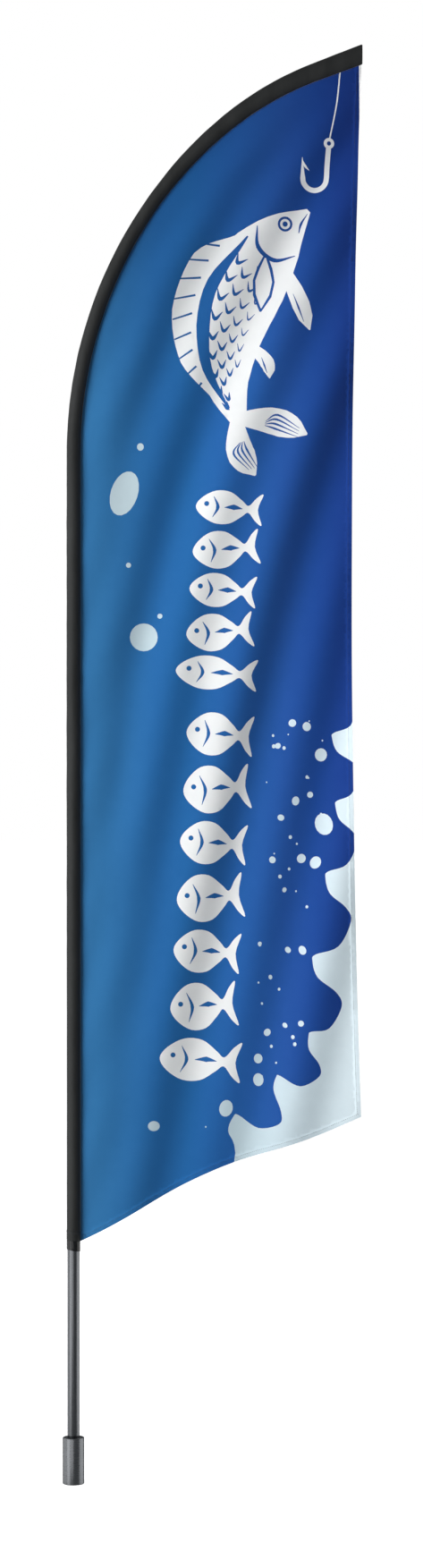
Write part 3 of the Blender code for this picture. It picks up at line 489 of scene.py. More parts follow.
def sleeve_section(run):
    """Half the sleeve's width, half its depth and its shift inward from the mast's axis."""
    spread = share(run, MAST_END - SPREAD_LENGTH, MAST_END)
    half_width = SLEEVE_RADIUS + (TIP_HALF_WIDTH - SLEEVE_RADIUS) * spread
    half_depth = SLEEVE_RADIUS + (TIP_HALF_DEPTH - SLEEVE_RADIUS) * spread
    return half_width, half_depth, half_width - SLEEVE_RADIUS


def inner_edge(run):
    point, inward = mast_at(run)
    half_width, _, shift = sleeve_section(run)
    return point + inward * (half_width + shift)


def outer_edge(run):
    point, inward = mast_at(run)
    return point - inward * SLEEVE_RADIUS


def path_mesh(points, closed=False, **values):
    """A line of edges through these points, with a value at each point for every name."""
    mesh = bpy.data.meshes.new("path")
    edges = [(i, i + 1) for i in range(len(points) - 1)]
    if closed:
        edges.append((len(points) - 1, 0))
    mesh.from_pydata([tuple(p) for p in points], edges, [])
    for key, numbers in values.items():
        mesh.attributes.new(key, "FLOAT", "POINT").data.foreach_set("value", numbers)
    return mesh


def settled(carrier):
    """The plain mesh that this object's modifiers leave; the object itself is taken away."""
    graph = bpy.context.evaluated_depsgraph_get()
    mesh = bpy.data.meshes.new_from_object(carrier.evaluated_get(graph))
    bpy.data.objects.remove(carrier)
    return mesh


def grown(mesh, group, **sizes):
    """The plain mesh that a Geometry Nodes group makes of this one, with its named sizes set."""
    carrier = placed("path", mesh)
    modifier = carrier.modifiers.new(group.name, "NODES")
    modifier.node_group = group
    for item in group.interface.items_tree:
        if item.in_out == "INPUT" and item.name in sizes:
            modifier[item.identifier] = sizes[item.name]
    return settled(carrier)


def new_group(name, **inputs):
    """An empty Geometry Nodes group with these inputs, and its two ends."""
    group = bpy.data.node_groups.new(name, "GeometryNodeTree")
    group.interface.new_socket("Geometry", in_out="INPUT", socket_type="NodeSocketGeometry")
    group.interface.new_socket("Geometry", in_out="OUTPUT", socket_type="NodeSocketGeometry")
    for key, kind in inputs.items():
        group.interface.new_socket(key, in_out="INPUT", socket_type=f"NodeSocket{kind}")
    return group, add_node(group, "NodeGroupInput").outputs


def end_group(group, shape, material):
    """The group closed: its instances made real, its finish set."""
    real = add_node(group, "GeometryNodeRealizeInstances", {"Geometry": shape})
    painted = add_node(group, "GeometryNodeSetMaterial", {"Geometry": real, "Material": material})
    add_node(group, "NodeGroupOutput", {"Geometry": painted})
    return group


# Cloth tube: a ring swept along the path, flattened front to back, with slack that stands out in
# soft wrinkles.
tree, given = new_group("cloth_tube", Sides="Int", Wrinkle_Length="Float", Finish="Material")
half_widths = add_node(tree, "GeometryNodeInputNamedAttribute", {"Name": "half_width"})
path = add_node(tree, "GeometryNodeMeshToCurve", {"Mesh": given["Geometry"]})
hoop = add_node(
    tree, "GeometryNodeCurvePrimitiveCircle", {"Resolution": given["Sides"], "Radius": 1.0}
)
sweep = add_node(
    tree, "GeometryNodeCurveToMesh", {"Curve": path, "Profile Curve": hoop, "Scale": half_widths}
)
flatness = add_node(tree, "GeometryNodeInputNamedAttribute", {"Name": "flatness"})
squeeze = add_node(tree, "ShaderNodeCombineXYZ", {0: 1.0, 1: flatness, 2: 1.0})
spot = add_node(tree, "GeometryNodeInputPosition")
squeezed = add_node(tree, "ShaderNodeVectorMath", {0: spot, 1: squeeze}, operation="MULTIPLY")
flat_tube = add_node(tree, "GeometryNodeSetPosition", {"Geometry": sweep, "Position": squeezed})
stretch = add_node(
    tree, "ShaderNodeVectorMath", {0: spot, 1: given["Wrinkle_Length"]}, operation="DIVIDE"
)
wrinkle_noise = add_node(
    tree, "ShaderNodeTexNoise", {"Vector": stretch, "Scale": 1.0, "Detail": 2.0}
)
slack = add_node(tree, "GeometryNodeInputNamedAttribute", {"Name": "slack"})
wrinkle = add_node(tree, "ShaderNodeMath", {0: wrinkle_noise, 1: slack}, operation="MULTIPLY")
outward = add_node(
    tree, "ShaderNodeVectorMath", {0: add_node(tree, "GeometryNodeInputNormal"), "Scale": wrinkle},
    operation="SCALE"
)
wrinkled = add_node(tree, "GeometryNodeSetPosition", {"Geometry": flat_tube, "Offset": outward})
cloth_tube = end_group(tree, wrinkled, given["Finish"])


def weave(tree, shader, place, relief, direction, scale, uneven, strength, depth):
    """Threads, loops or ribs in even bands across this direction, laid over the relief so far."""
    bands = add_node(
        tree, "ShaderNodeTexWave", {"Vector": place, "Scale": scale, "Distortion": uneven},
        wave_type="BANDS", bands_direction=direction
    )
    raised = {"Strength": strength, "Distance": depth, "Height": bands.outputs["Fac"]}
    if relief:
        raised["Normal"] = relief
    relief = add_node(tree, "ShaderNodeBump", raised)
    tree.links.new(relief.outputs[0], shader.inputs["Normal"])
    return relief


# Woven black polyester: dull black with a soft sheen, threads drawn 2 mm apart where they lie
# 0.4 mm apart, and paler dust and wear in broad patches.
sleeve_cloth, tree, shader, place = start_finish(
    "woven_black_polyester", Specular_IOR_Level=0.2, Sheen_Weight=0.05, Sheen_Roughness=0.4
)
dust = (26, 26, 7), ("#252626", "#303131"), (0.50, 0.62), 0.0006, 0.25
relief = grain(tree, shader, place, *dust)
weave(tree, shader, place, relief, "DIAGONAL", 90.0, 0.6, 0.2, 0.0002)

SLEEVE_RING = 0.010
sleeve_runs = [SLEEVE_BOTTOM - SLEEVE_RADIUS + SLEEVE_RING * i for i in range(400)]
sleeve_runs = [run for run in sleeve_runs if run < MAST_END + 0.06]
sections = [sleeve_section(run) for run in sleeve_runs]
middles = [mast_at(run)[0] + mast_at(run)[1] * s[2] for run, s in zip(sleeve_runs, sections)]
sleeve_path = path_mesh(
    middles, half_width=[s[0] for s in sections], flatness=[s[1] / s[0] for s in sections],
    slack=[0.0008 + 0.0010 * share(run, 1.0, 1.4) for run in sleeve_runs]
)
skin_mesh = grown(sleeve_path, cloth_tube, Sides=48, Wrinkle_Length=0.045, Finish=sleeve_cloth)


def walled(shape, thickness, offset=-1.0):
    """The shape given its wall: a plain mesh, smooth, with faces outward."""
    carrier = placed("skin", as_mesh(shape))
    wall = carrier.modifiers.new("wall", "SOLIDIFY")
    wall.thickness = thickness
    wall.offset = offset
    result = settled(carrier)
    result.shade_smooth()
    result.set_sharp_from_angle(angle=radians(60))
    return result


skin = bmesh.new()
skin.from_mesh(skin_mesh)
bmesh.ops.remove_doubles(skin, verts=skin.verts, dist=1e-6)
hem_down = Vector((-sin(HEM_SLOPE), 0, -cos(HEM_SLOPE)))
HEM_FOLD = 0.022
for plane_point, plane_out, keep in (
    (Vector((0, 0, SLEEVE_BOTTOM)), hem_down, False),
    (Vector((FLAG_WIDTH, 0, 0)), Vector((1, 0, 0)), False),
    (Vector((0, 0, SLEEVE_BOTTOM + HEM_FOLD)), hem_down, True),
    (Vector((0, 0, SLEEVE_BOTTOM + HEM_FOLD + 0.0008)), hem_down, True)
):
    bmesh.ops.bisect_plane(
        skin, geom=skin.verts[:] + skin.edges[:] + skin.faces[:], plane_co=plane_point,
        plane_no=plane_out, clear_outer=not keep
    )
# The lower hem is folded over, so it stands a cloth's thickness further out.
for vert in skin.verts:
    above = (vert.co - Vector((0, 0, SLEEVE_BOTTOM + HEM_FOLD))).dot(-hem_down)
    if above < 0.0001:
        out = Vector((vert.co.x, vert.co.y, 0)).normalized()
        vert.co += out * SLEEVE_WALL
bmesh.ops.recalc_face_normals(skin, faces=skin.faces)
sleeve = add_piece(
    "pole_sleeve_cloth", walled(skin, SLEEVE_WALL), sleeve_cloth, "flag", "sleeve_fabric",
    "pole_sleeve"
)

# The patch that closes the sleeve's mouth: an oval of the same cloth with a rolled rim.
PANEL_END = run_to(FLAG_WIDTH, inner_edge)
mouth_bottom = inner_edge(PANEL_END).z
mouth_top = outer_edge(run_to(FLAG_WIDTH, outer_edge)).z
PATCH_RIM = ((1.0, -0.0006), (1.03, 0.0004), (1.03, 0.0016), (0.98, 0.0026), (0.88, 0.0026))
PATCH_RIM += ((0.80, 0.0021), (0.45, 0.0027), (0.0, 0.0029), (0.0, -0.0006))
patch = bmesh.new()
half_height = (mouth_top - mouth_bottom) / 2
middle = (mouth_bottom + mouth_top) / 2
rings = []
for scale, stand in PATCH_RIM:
    x = FLAG_WIDTH + SEAM_GAP + stand
    spots = [(TIP_HALF_DEPTH * scale * y, half_height * scale * z) for y, z in circle(48)]
    rings.append([patch.verts.new((x, y, middle + z)) for y, z in spots])
bridge(patch, rings + rings[:1])
bmesh.ops.remove_doubles(patch, verts=patch.verts, dist=1e-6)
tip_patch = add_piece(
    "sleeve_tip_patch", closed_mesh(patch), sleeve_cloth, "flag", "sleeve_fabric",
    "sleeve_tip_pocket"
)

# Stitches: short bits of thread set along a path, each turned to lie on it.
tree, given = new_group("row_of_stitches", Pitch="Float", Thread="Vector", Finish="Material")
line = add_node(tree, "GeometryNodeMeshToCurve", {"Mesh": given["Geometry"]})
spaced = add_node(
    tree, "GeometryNodeResampleCurve", {"Curve": line, "Length": given["Pitch"]}, mode="LENGTH"
)
bead = add_node(tree, "GeometryNodeMeshUVSphere", {"Segments": 6, "Rings": 4, "Radius": 0.5})
laid = add_node(
    tree, "FunctionNodeAlignRotationToVector",
    {"Vector": add_node(tree, "GeometryNodeInputTangent")}, axis="X"
)
stitches = add_node(
    tree, "GeometryNodeInstanceOnPoints",
    {"Points": spaced, "Instance": bead, "Rotation": laid, "Scale": given["Thread"]}
)
row_of_stitches = end_group(tree, stitches, given["Finish"])

# Spun polyester thread: twisted, slightly shiny.
dark_thread = finish(
    "spun_dark_thread", (900, 900, 900), ("#20242c", "#39414f"), (0.5, 0.65), 0.0001, 0.4,
    Sheen_Weight=0.2
)


def sewn(name, points, pitch, thread, material, body, slot, closed=False):
    """One row of stitches as its own piece."""
    mesh = grown(
        path_mesh(points, closed), row_of_stitches, Pitch=pitch, Thread=thread, Finish=material
    )
    mesh.shade_smooth()
    return add_piece(name, mesh, None, body, slot)


hem_ring = []
for x, y in circle(72):
    radius = SLEEVE_RADIUS + SLEEVE_WALL + 0.0008
    z = SLEEVE_BOTTOM + HEM_FOLD - 0.004 - x * radius * tan(HEM_SLOPE)
    hem_ring.append((x * radius, y * radius, z))
sleeve_hem_stitches = sewn(
    "sleeve_hem_stitches", hem_ring, 0.0040, (0.0028, 0.0006, 0.0006), dark_thread, "flag",
    "sleeve_fabric", True
)

# ---------------- flag panel
# One width of knitted polyester flag cloth, printed right through, cut to the bow and sewn to the
# sleeve. Its bottom and free edge are hemmed; folds fan out from the mast's tip.
HEM_START = SLEEVE_BOTTOM - SLEEVE_RADIUS * tan(HEM_SLOPE)
HEM_RISE = 0.294
SEWN_X = SLEEVE_RADIUS + SEAM_GAP
PANEL_HEM = 0.012
CLOTH_HALF = 0.0002
panel_top = mouth_bottom - 0.012
panel_bottom = HEM_START + HEM_RISE


def hem_height(x):
    """The lower hem's height: rising to the free corner, on a swell."""
    width_share = (x - SEWN_X) / (FLAG_WIDTH - SEWN_X)
    swell = 0.028 * sin(pi * share(width_share, 0, 0.907)) ** 2
    return HEM_START + HEM_RISE * width_share + swell


def free_edge(z):
    """The free edge's x, bowed in between its corners."""
    height_share = (z - panel_bottom) / (panel_top - panel_bottom)
    return FLAG_WIDTH - 0.022 * 4 * height_share * (1 - height_share)


def evenly(first, last, gap):
    count = max(int(abs(last - first) / gap), 1)
    return [first + (last - first) * i / count for i in range(count + 1)]


sewn_edge = []
for run in evenly(PANEL_END, BOW_START, 0.008) + evenly(BOW_START, HEM_START, 0.012)[1:]:
    (x, _, z), (ix, _, iz) = inner_edge(run), mast_at(run)[1]
    sewn_edge.append((x + ix * SEAM_GAP, z + iz * SEAM_GAP, ix, iz))
sewn_table = np.array(sewn_edge)


def from_sleeve(x, z):
    """How far a point of the panel lies from the sewn edge; less than none outside it."""
    apart = (sewn_table[:, 0] - x) ** 2 + (sewn_table[:, 1] - z) ** 2
    px, pz, ix, iz = sewn_table[int(apart.argmin())]
    return (x - px) * ix + (z - pz) * iz


def fold_shift(z):
    return 0.21 * z + 0.0533 * max(z - 1.5, 0) ** 3


def fold_depth(x, z, away):
    """How far back the cloth lies: broad billows, leaning folds and small puckers at the seam."""
    held = 1 - exp(-((away / 0.11) ** 2))
    phase = x - fold_shift(z) - 0.035
    folds = 0.0075 * sin(2 * pi * phase / 0.17)
    billow = 0.0090 * sin(2 * pi * phase / 0.46)
    near = max(away, 0) / 0.05
    pucker = 0.0035 * near * exp(-near) * sin(2 * pi * (z - 1.6 * away) / 0.28)
    # Near the hem the cloth hangs flatter than in the middle.
    fullness = 0.65 + 0.35 * share(z, 0.8, 1.8)
    return held * fullness * (folds + billow) + pucker


def smooth_line(points, steps=6, closed=False):
    """A smooth line through these points."""
    ends = [Vector(p) for p in points]
    if closed:
        ends = ends[-1:] + ends + ends[:2]
    else:
        ends = [ends[0] * 2 - ends[1], *ends, ends[-1] * 2 - ends[-2]]
    line = []
    for a, b, c, d in zip(ends, ends[1:], ends[2:], ends[3:]):
        for t in (i / steps for i in range(steps)):
            bend = (a * 2 - b * 5 + c * 4 - d) * t**2 + (b * 3 - a - c * 3 + d) * t**3
            line.append((b * 2 + (c - a) * t + bend) / 2)
    return line if closed else line + [ends[-2]]


def between(values, place):
    """The value at this place in a list, from its two neighbours there."""
    low = min(int(place), len(values) - 2)
    return values[low] + (values[low + 1] - values[low]) * (place - low)


def stroke(points, widths, steps=6):
    """The outline of a brush stroke whose width follows widths along its smooth line."""
    line = smooth_line(points, steps)
    left, right = [], []
    for i, point in enumerate(line):
        ahead = (line[min(i + 1, len(line) - 1)] - line[max(i - 1, 0)]).normalized()
        width = between(widths, i / (len(line) - 1) * (len(widths) - 1))
        side = Vector((-ahead.y, ahead.x)) * width / 2
        left.append(point + side)
        right.append(point - side)
    return left + right[::-1]


def tilted(x, z, u, v, tilt):
    """The point u along and v across from (x, z), on axes tilted by so many degrees."""
    turn = radians(tilt)
    return (x + u * cos(turn) - v * sin(turn), z + u * sin(turn) + v * cos(turn))


def oval(x, z, across, up, tilt=0.0, steps=20):
    return [Vector(tilted(x, z, across * u, up * v, tilt)) for u, v in circle(steps)]


prints = []


def lay(ink, outline):
    """Prints this outline in this ink, over what is printed already."""
    prints.append((ink, outline))


# Line and hook: a line from the top hem to a plain round-bend hook.
lay("white", stroke([(0.630, 3.335), (0.622, 3.26), (0.606, 3.18)], [0.0032, 0.0032]))
lay("white", oval(0.604, 3.168, 0.0125, 0.0125))
lay("blue", oval(0.604, 3.168, 0.0050, 0.0050, steps=12))
BEND = 0.028
bend_angles = [radians(a) for a in range(0, -181, -30)]
hook_bend = [(0.570 + BEND * cos(a), 3.086 + BEND * sin(a)) for a in bend_angles]
lay(
    "white",
    stroke([(0.603, 3.157), (0.600, 3.120), *hook_bend, (0.541, 3.134)], [0.0120] * 9 + [0.001])
)
lay("white", stroke([(0.5410, 3.128), (0.5475, 3.114), (0.5570, 3.104)], [0.001, 0.006, 0.001]))

# A plain fish on an arc: a spindle of a body with leaf fins, an eye, a gill arc and scale rows.
SPINE = [
    (0.556, 3.010), (0.487, 2.945), (0.415, 2.850), (0.368, 2.730), (0.362, 2.610), (0.392, 2.505)
]
GIRTHS = [0.012, 0.070, 0.124, 0.168, 0.192, 0.188, 0.170, 0.144, 0.110, 0.074, 0.034]
spine = smooth_line(SPINE, 12)


def heading(line, low):
    """Which way a line runs on from this point of it, and the way to its right."""
    ahead = (line[low + 1] - line[low]).normalized()
    return ahead, Vector((ahead.y, -ahead.x))


def on_fish(along, across):
    """A point of the fish: along from snout 0 to tail root 1, across from belly -1 to back 1."""
    place = min(max(along, 0), 1) * (len(spine) - 1)
    low = min(int(place), len(spine) - 2)
    girth = between(GIRTHS, min(max(along, 0), 1) * (len(GIRTHS) - 1))
    point = spine[low].lerp(spine[low + 1], place - low)
    return point + heading(spine, low)[1] * girth / 2 * across


def fish_stroke(ink, places, widths):
    lay(ink, stroke([on_fish(*place) for place in places], widths))


back_fin = [(0.30, 0.95), (0.42, 1.22), (0.58, 1.30), (0.72, 1.22), (0.86, 0.90)]
fish_stroke("white", back_fin, [0.004, 0.050, 0.058, 0.048, 0.004])
for i in range(9):
    start = 0.36 + 0.055 * i
    fish_stroke("blue", [(start, 1.08), (start + 0.03, 1.62)], [0.0050, 0.0035])
for tip, swing in (((0.552, 2.478), 0.014), ((0.430, 2.382), -0.016)):
    root, end = Vector((0.384, 2.516)), Vector(tip)
    across = Vector((root.y - end.y, end.x - root.x)).normalized()
    middle = root.lerp(end, 0.55) + across * swing
    lay("white", stroke([root, middle, end], [0.026, 0.046, 0.062, 0.066, 0.050, 0.004]))
    for side in (-1.5, -0.5, 0.5, 1.5):
        bend = middle + across * side * 0.011
        start = root.lerp(end, 0.34).lerp(bend, 0.3)
        stop = root.lerp(end, 0.88) + across * side * 0.007
        lay("blue", stroke([start, bend, stop], [0.0012, 0.0050, 0.0010]))
for ink, places, widths in (
    ("white", [(0.30, -0.85), (0.40, -1.45), (0.50, -1.95)], [0.026, 0.038, 0.042, 0.034, 0.003]),
    ("blue", [(0.36, -1.20), (0.47, -1.72)], [0.001, 0.0045, 0.001]),
    ("white", [(0.66, -0.80), (0.74, -1.50), (0.84, -2.10)], [0.020, 0.030, 0.034, 0.026, 0.002]),
    ("blue", [(0.71, -1.20), (0.80, -1.75)], [0.001, 0.004, 0.001])
):
    fish_stroke(ink, places, widths)
body = [on_fish(i / 24, 1) for i in range(25)] + [on_fish(1 - i / 24, -1) for i in range(25)]
lay("white", body)
fish_stroke(
    "blue", [(0.28, 0.74), (0.50, 0.76), (0.72, 0.72), (0.93, 0.40)],
    [0.004, 0.030, 0.032, 0.022, 0.002]
)
for row, (across, reach, bold) in enumerate(
    ((0.44, 0.16, 0.0105), (0.14, 0.15, 0.0090), (-0.15, 0.13, 0.0070), (-0.42, 0.10, 0.0045))
):
    for i in range(9 - row):
        along = 0.345 + 0.068 * i + 0.034 * (row % 2)
        arc = [(along, across + reach), (along + 0.030, across), (along, across - reach)]
        fish_stroke("blue", arc, [0.0010, bold, 0.0010])
fish_stroke(
    "blue", [(0.225, 0.86), (0.285, 0.30), (0.285, -0.30), (0.215, -0.86)],
    [0.002, 0.010, 0.010, 0.002]
)
fish_stroke("blue", [(0.015, -0.35), (0.075, -0.42), (0.115, -0.62)], [0.001, 0.006, 0.002])
eye = on_fish(0.135, 0.30)
lay("blue", oval(*eye, 0.0175, 0.0175))
lay("white", oval(*eye, 0.0120, 0.0120))
lay("blue", oval(*eye, 0.0062, 0.0062, steps=14))
fish_stroke(
    "blue", [(0.29, -0.02), (0.38, -0.36), (0.50, -0.62)], [0.008, 0.036, 0.052, 0.044, 0.004]
)
fish_stroke(
    "white", [(0.30, -0.06), (0.38, -0.36), (0.485, -0.60)], [0.003, 0.024, 0.040, 0.032, 0.002]
)

# Drops by the sleeve.
for x, z, across, up, tilt in (
    (0.120, 2.340, 0.032, 0.054, -18), (0.158, 2.450, 0.008, 0.009, 0),
    (0.130, 2.170, 0.006, 0.006, 0), (0.204, 2.050, 0.006, 0.006, 0),
    (0.166, 2.000, 0.033, 0.033, 0), (0.190, 0.845, 0.014, 0.012, 0)
):
    lay("pale", oval(x, z, across, up, tilt))


def shoal_fish(x, z, length, height, tilt):
    """A small plain fish that lies across the panel, with its tail to the free edge."""

    def at(u, v):
        return tilted(x, z, u * length / 2, v * height / 2, tilt)

    upper = [
        (-0.82, 0.52), (-0.42, 0.93), (0.02, 0.90), (0.38, 0.46), (0.58, 0.20), (0.80, 0.66),
        (1.0, 0.88)
    ]
    side = [(-1.0, 0.0), *upper, (0.86, 0.0), *[(u, -v) for u, v in reversed(upper)]]
    lay("white", smooth_line([at(*p) for p in side], 4, True))
    gill = [at(-0.48, 0.60), at(-0.34, 0.0), at(-0.48, -0.60)]
    lay("blue", stroke(gill, [0.001, 0.0085, 0.001]))
    lay("blue", oval(*at(-0.68, 0.16), 0.0060, 0.0060, steps=12))
    lay("blue", stroke([at(-0.14, 0), at(0.14, 0.05), at(0.40, 0)], [0.001, 0.013, 0.001]))


# The shoal: twelve small fish in a column, in a lower and an upper group.
for count, deep, (first, last), (left, right) in (
    (7, 0.112, (1.000, 1.770), (0.300, 0.346)), (5, 0.088, (1.915, 2.305), (0.338, 0.368))
):
    for i in range(count):
        t = i / (count - 1)
        length = 0.158 * (1.22 if i == 0 else 1.0)
        height, tilt = (deep * 1.04, 5) if i % 2 else (deep * 0.94, -4)
        shoal_fish(left + (right - left) * t, first + (last - first) * t, length, height, tilt)

# The splash: rounded crests along a falling line, each throwing off drops.
chance = random.Random(11)
CRESTS = 7
SPLASH_LINE = [(0.675, 1.84), (0.665, 1.45), (0.600, 1.00), (0.370, 0.74)]
# Along the line as a share of one crest, out from it as a share of its height, and forward.
CREST = (
    (0.0, 0.004, 0), (0.30, 0.30, 0), (0.48, 0.92, 0.012), (0.60, 1.0, 0.020), (0.72, 0.80, 0.006),
    (0.84, 0.22, 0)
)
coast = smooth_line(SPLASH_LINE, 24)
shore = [Vector((0.76, 1.86))]
for i in range(CRESTS):
    crest = chance.uniform(0.040, 0.090)
    for step, out, slip in CREST:
        place = (i + step) / CRESTS * (len(coast) - 2)
        low = int(place)
        ahead, away = heading(coast, low)
        spot = coast[low].lerp(coast[low + 1], place - low)
        shore.append(spot + away * crest * out - ahead * slip)
    peak = int((i + 0.55) / CRESTS * (len(coast) - 2))
    ahead, away = heading(coast, peak)
    for throw in range(4):
        size = chance.uniform(0.006, 0.021) / (1 + 0.5 * throw)
        spot = coast[peak] + away * (crest + 0.026 + 0.034 * throw)
        spot += ahead * chance.uniform(-0.045, 0.045)
        shape = (size, size * chance.uniform(0.9, 1.3), chance.uniform(-40, 40))
        if spot.x > 0.43 or spot.y < 0.90:
            lay("pale", oval(*spot, *shape, 16))
    for spray in range(6):
        size = chance.uniform(0.0016, 0.0044)
        spot = coast[peak] + away * (crest + chance.uniform(0.02, 0.20))
        spot += ahead * chance.uniform(-0.08, 0.08)
        if spot.x < 0.43 and spot.y > 0.90:
            continue
        lay("pale", oval(*spot, size, size * 1.15, 0, 9))
shore += [Vector((0.385, 0.60)), Vector((0.76, 0.60))]
lay("pale", smooth_line(shore, 5, True))
# A strip of bare cloth where the print stops short, at the top of the free edge.
lay("white", [Vector(p) for p in ((0.6765, 3.19), (0.72, 3.19), (0.72, 3.36), (0.6745, 3.36))])

outline = [(x, hem_height(x)) for x in evenly(SEWN_X, FLAG_WIDTH, 0.010)]
outline += [(free_edge(z), z) for z in evenly(panel_bottom, panel_top, 0.012)[1:]]
outline += [(x, z) for x, z, _, _ in sewn_edge[:-1]]
points = [Vector(p) for p in outline]
shapes = [list(range(len(points)))]
for ink, shape in prints:
    area = sum(a.x * b.y - b.x * a.y for a, b in zip(shape, shape[1:] + shape[:1]))
    ring = list(range(len(points), len(points) + len(shape)))
    points += shape
    shapes.append(ring if area > 0 else ring[::-1])
creases = []
for inset in (PANEL_HEM, PANEL_HEM + 0.0006):
    for line in (
        [(x, hem_height(x) + inset * 1.1) for x in evenly(SEWN_X + 0.001, FLAG_WIDTH, 0.010)],
        [(free_edge(z) - inset, z) for z in evenly(panel_bottom, panel_top, 0.012)]
    ):
        start = len(points)
        points += [Vector(p) for p in line]
        creases += [(start + i, start + i + 1) for i in range(len(line) - 1)]
GRID, EDGE_GAP = 0.010, 0.004
for row in range(int(panel_top / GRID) + 1):
    for column in range(int(FLAG_WIDTH / GRID)):
        x, z = (column + 0.5 * (row % 2)) * GRID, row * GRID
        if z < hem_height(x) + EDGE_GAP or z > panel_top:
            continue
        if x > free_edge(max(z, panel_bottom)) - EDGE_GAP or from_sleeve(x, z) < EDGE_GAP:
            continue
        points.append(Vector((x, z)))

flat_points, _, triangles, _, _, owners = geometry.delaunay_2d_cdt(
    points, creases, shapes, 1, 1e-6, True
)
INKS = ("blue", "white", "pale")
front, printed_with = [], []
for triangle, owner in zip(triangles, owners):
    if 0 in owner:
        top = max(owner)
        front.append(triangle)
        printed_with.append(INKS.index(prints[top - 1][0]) if top else 0)
used = sorted({i for triangle in front for i in triangle})
renumbered = {old: new for new, old in enumerate(used)}
front = [tuple(renumbered[i] for i in triangle) for triangle in front]

faces_down, lifts = [], []
for old in used:
    x, z = flat_points[old]
    from_hem = min((z - hem_height(x)) / 1.1, free_edge(z) - x if z > panel_bottom else 1)
    half = CLOTH_HALF * (3 if from_hem < PANEL_HEM + 0.0003 else 1)
    y = fold_depth(x, z, from_sleeve(x, z))
    faces_down.append((x, y - half, z))
    lifts.append((x, y + half, z))
count = len(used)
seen_edges = {}
for triangle in front:
    for a, b in zip(triangle, triangle[1:] + triangle[:1]):
        seen_edges[(a, b)] = triangle
rim = [(a, b) for a, b in seen_edges if (b, a) not in seen_edges]
all_faces = list(front)
all_faces += [tuple(i + count for i in reversed(triangle)) for triangle in front]
ink_of = dict(zip(front, printed_with))
inks = printed_with * 2
for a, b in rim:
    all_faces.append((b, a, a + count, b + count))
    inks.append(ink_of[seen_edges[(a, b)]])
panel_mesh = bpy.data.meshes.new("printed_panel")
panel_mesh.from_pydata(faces_down + lifts, [], all_faces)

# Knitted polyester flag cloth, printed: matt, with a fine mesh of loops drawn 1.6 mm apart where
# they lie 0.7 mm apart. The dye has soaked through, so every ink shares the cloth's relief. Each
# ink also carries painted shade, darker towards the top hem.
INK_RAMPS = {
    "blue": (
        (0.00, "#3473a7"), (0.08, "#3172a7"), (0.15, "#2b6aa0"), (0.29, "#2363a0"),
        (0.40, "#2163a2"), (0.58, "#255fa8"), (0.74, "#2454a2"), (0.84, "#1d4a9a"),
        (0.93, "#1a4090"), (1.0, "#193a88")
    ),
    "white": ((0.0, "#eceeee"), (1.0, "#f4f5f5")),
    "pale": ((0.0, "#b9cad1"), (0.55, "#c4d8e0"), (0.8, "#dcedf5"), (1.0, "#e9f8fe"))
}
for ink in INKS:
    cloth, tree, shader, place = start_finish(
        f"printed_knitted_polyester_{ink}", Specular_IOR_Level=0.2, IOR=1.45
    )
    split = add_node(tree, "ShaderNodeSeparateXYZ", {0: place}).outputs
    across = add_node(tree, "ShaderNodeMath", {0: split[0], 1: FLAG_WIDTH}, operation="DIVIDE")
    ramp = add_node(tree, "ShaderNodeValToRGB", {0: across})
    stops = INK_RAMPS[ink]
    while len(ramp.color_ramp.elements) < len(stops):
        ramp.color_ramp.elements.new(0.5)
    for element, (position, colour) in zip(ramp.color_ramp.elements, stops):
        element.position, element.color = position, paint(colour)
    # Painted shade: from 2.45 m up, every ink is multiplied darker towards the top hem, the blue
    # most, standing in for the shade that falls there.
    painted_top_shade = add_node(
        tree, "ShaderNodeMapRange",
        {
            "Value": split[2], "From Min": 2.45, "From Max": 3.35, "To Min": 0.0,
            "To Max": 0.34 if ink == "blue" else 0.05
        },
        interpolation_type="SMOOTHSTEP"
    )
    top_shaded_print = add_node(
        tree, "ShaderNodeMix", {0: painted_top_shade, 6: ramp, 7: paint("#5a6a9a")}, data_type="RGBA",
        blend_type="MULTIPLY"
    )
    cloud = add_node(
        tree, "ShaderNodeTexNoise", {"Vector": place, "Scale": 35.0, "Detail": 5.0}
    ).outputs["Fac"]
    uneven = add_node(tree, "ShaderNodeMapRange", {"Value": cloud, "To Min": 0.0, "To Max": 0.10})
    soaked = add_node(
        tree, "ShaderNodeMix", {0: uneven, 6: top_shaded_print.outputs[2], 7: paint("#8a929c")},
        data_type="RGBA", blend_type="MULTIPLY"
    )
    tree.links.new(soaked.outputs[2], shader.inputs["Base Color"])
    dull = add_node(tree, "ShaderNodeMapRange", {"Value": cloud, "To Min": 0.66, "To Max": 0.80})
    tree.links.new(dull.outputs[0], shader.inputs["Roughness"])
    relief = None
    for direction in ("X", "Z"):
        relief = weave(tree, shader, place, relief, direction, 196.0, 0.4, 0.18, 0.0002)
    panel_mesh.materials.append(cloth)
panel_mesh.polygons.foreach_set("material_index", inks)
panel_mesh.update()
panel_mesh.shade_smooth()
panel_mesh.set_sharp_from_angle(angle=radians(50))
panel = add_piece("printed_panel", panel_mesh, None, "flag", "panel_fabric", "flag_panel")


def on_panel(x, z, lift):
    return (x, fold_depth(x, z, from_sleeve(x, z)) + lift, z)


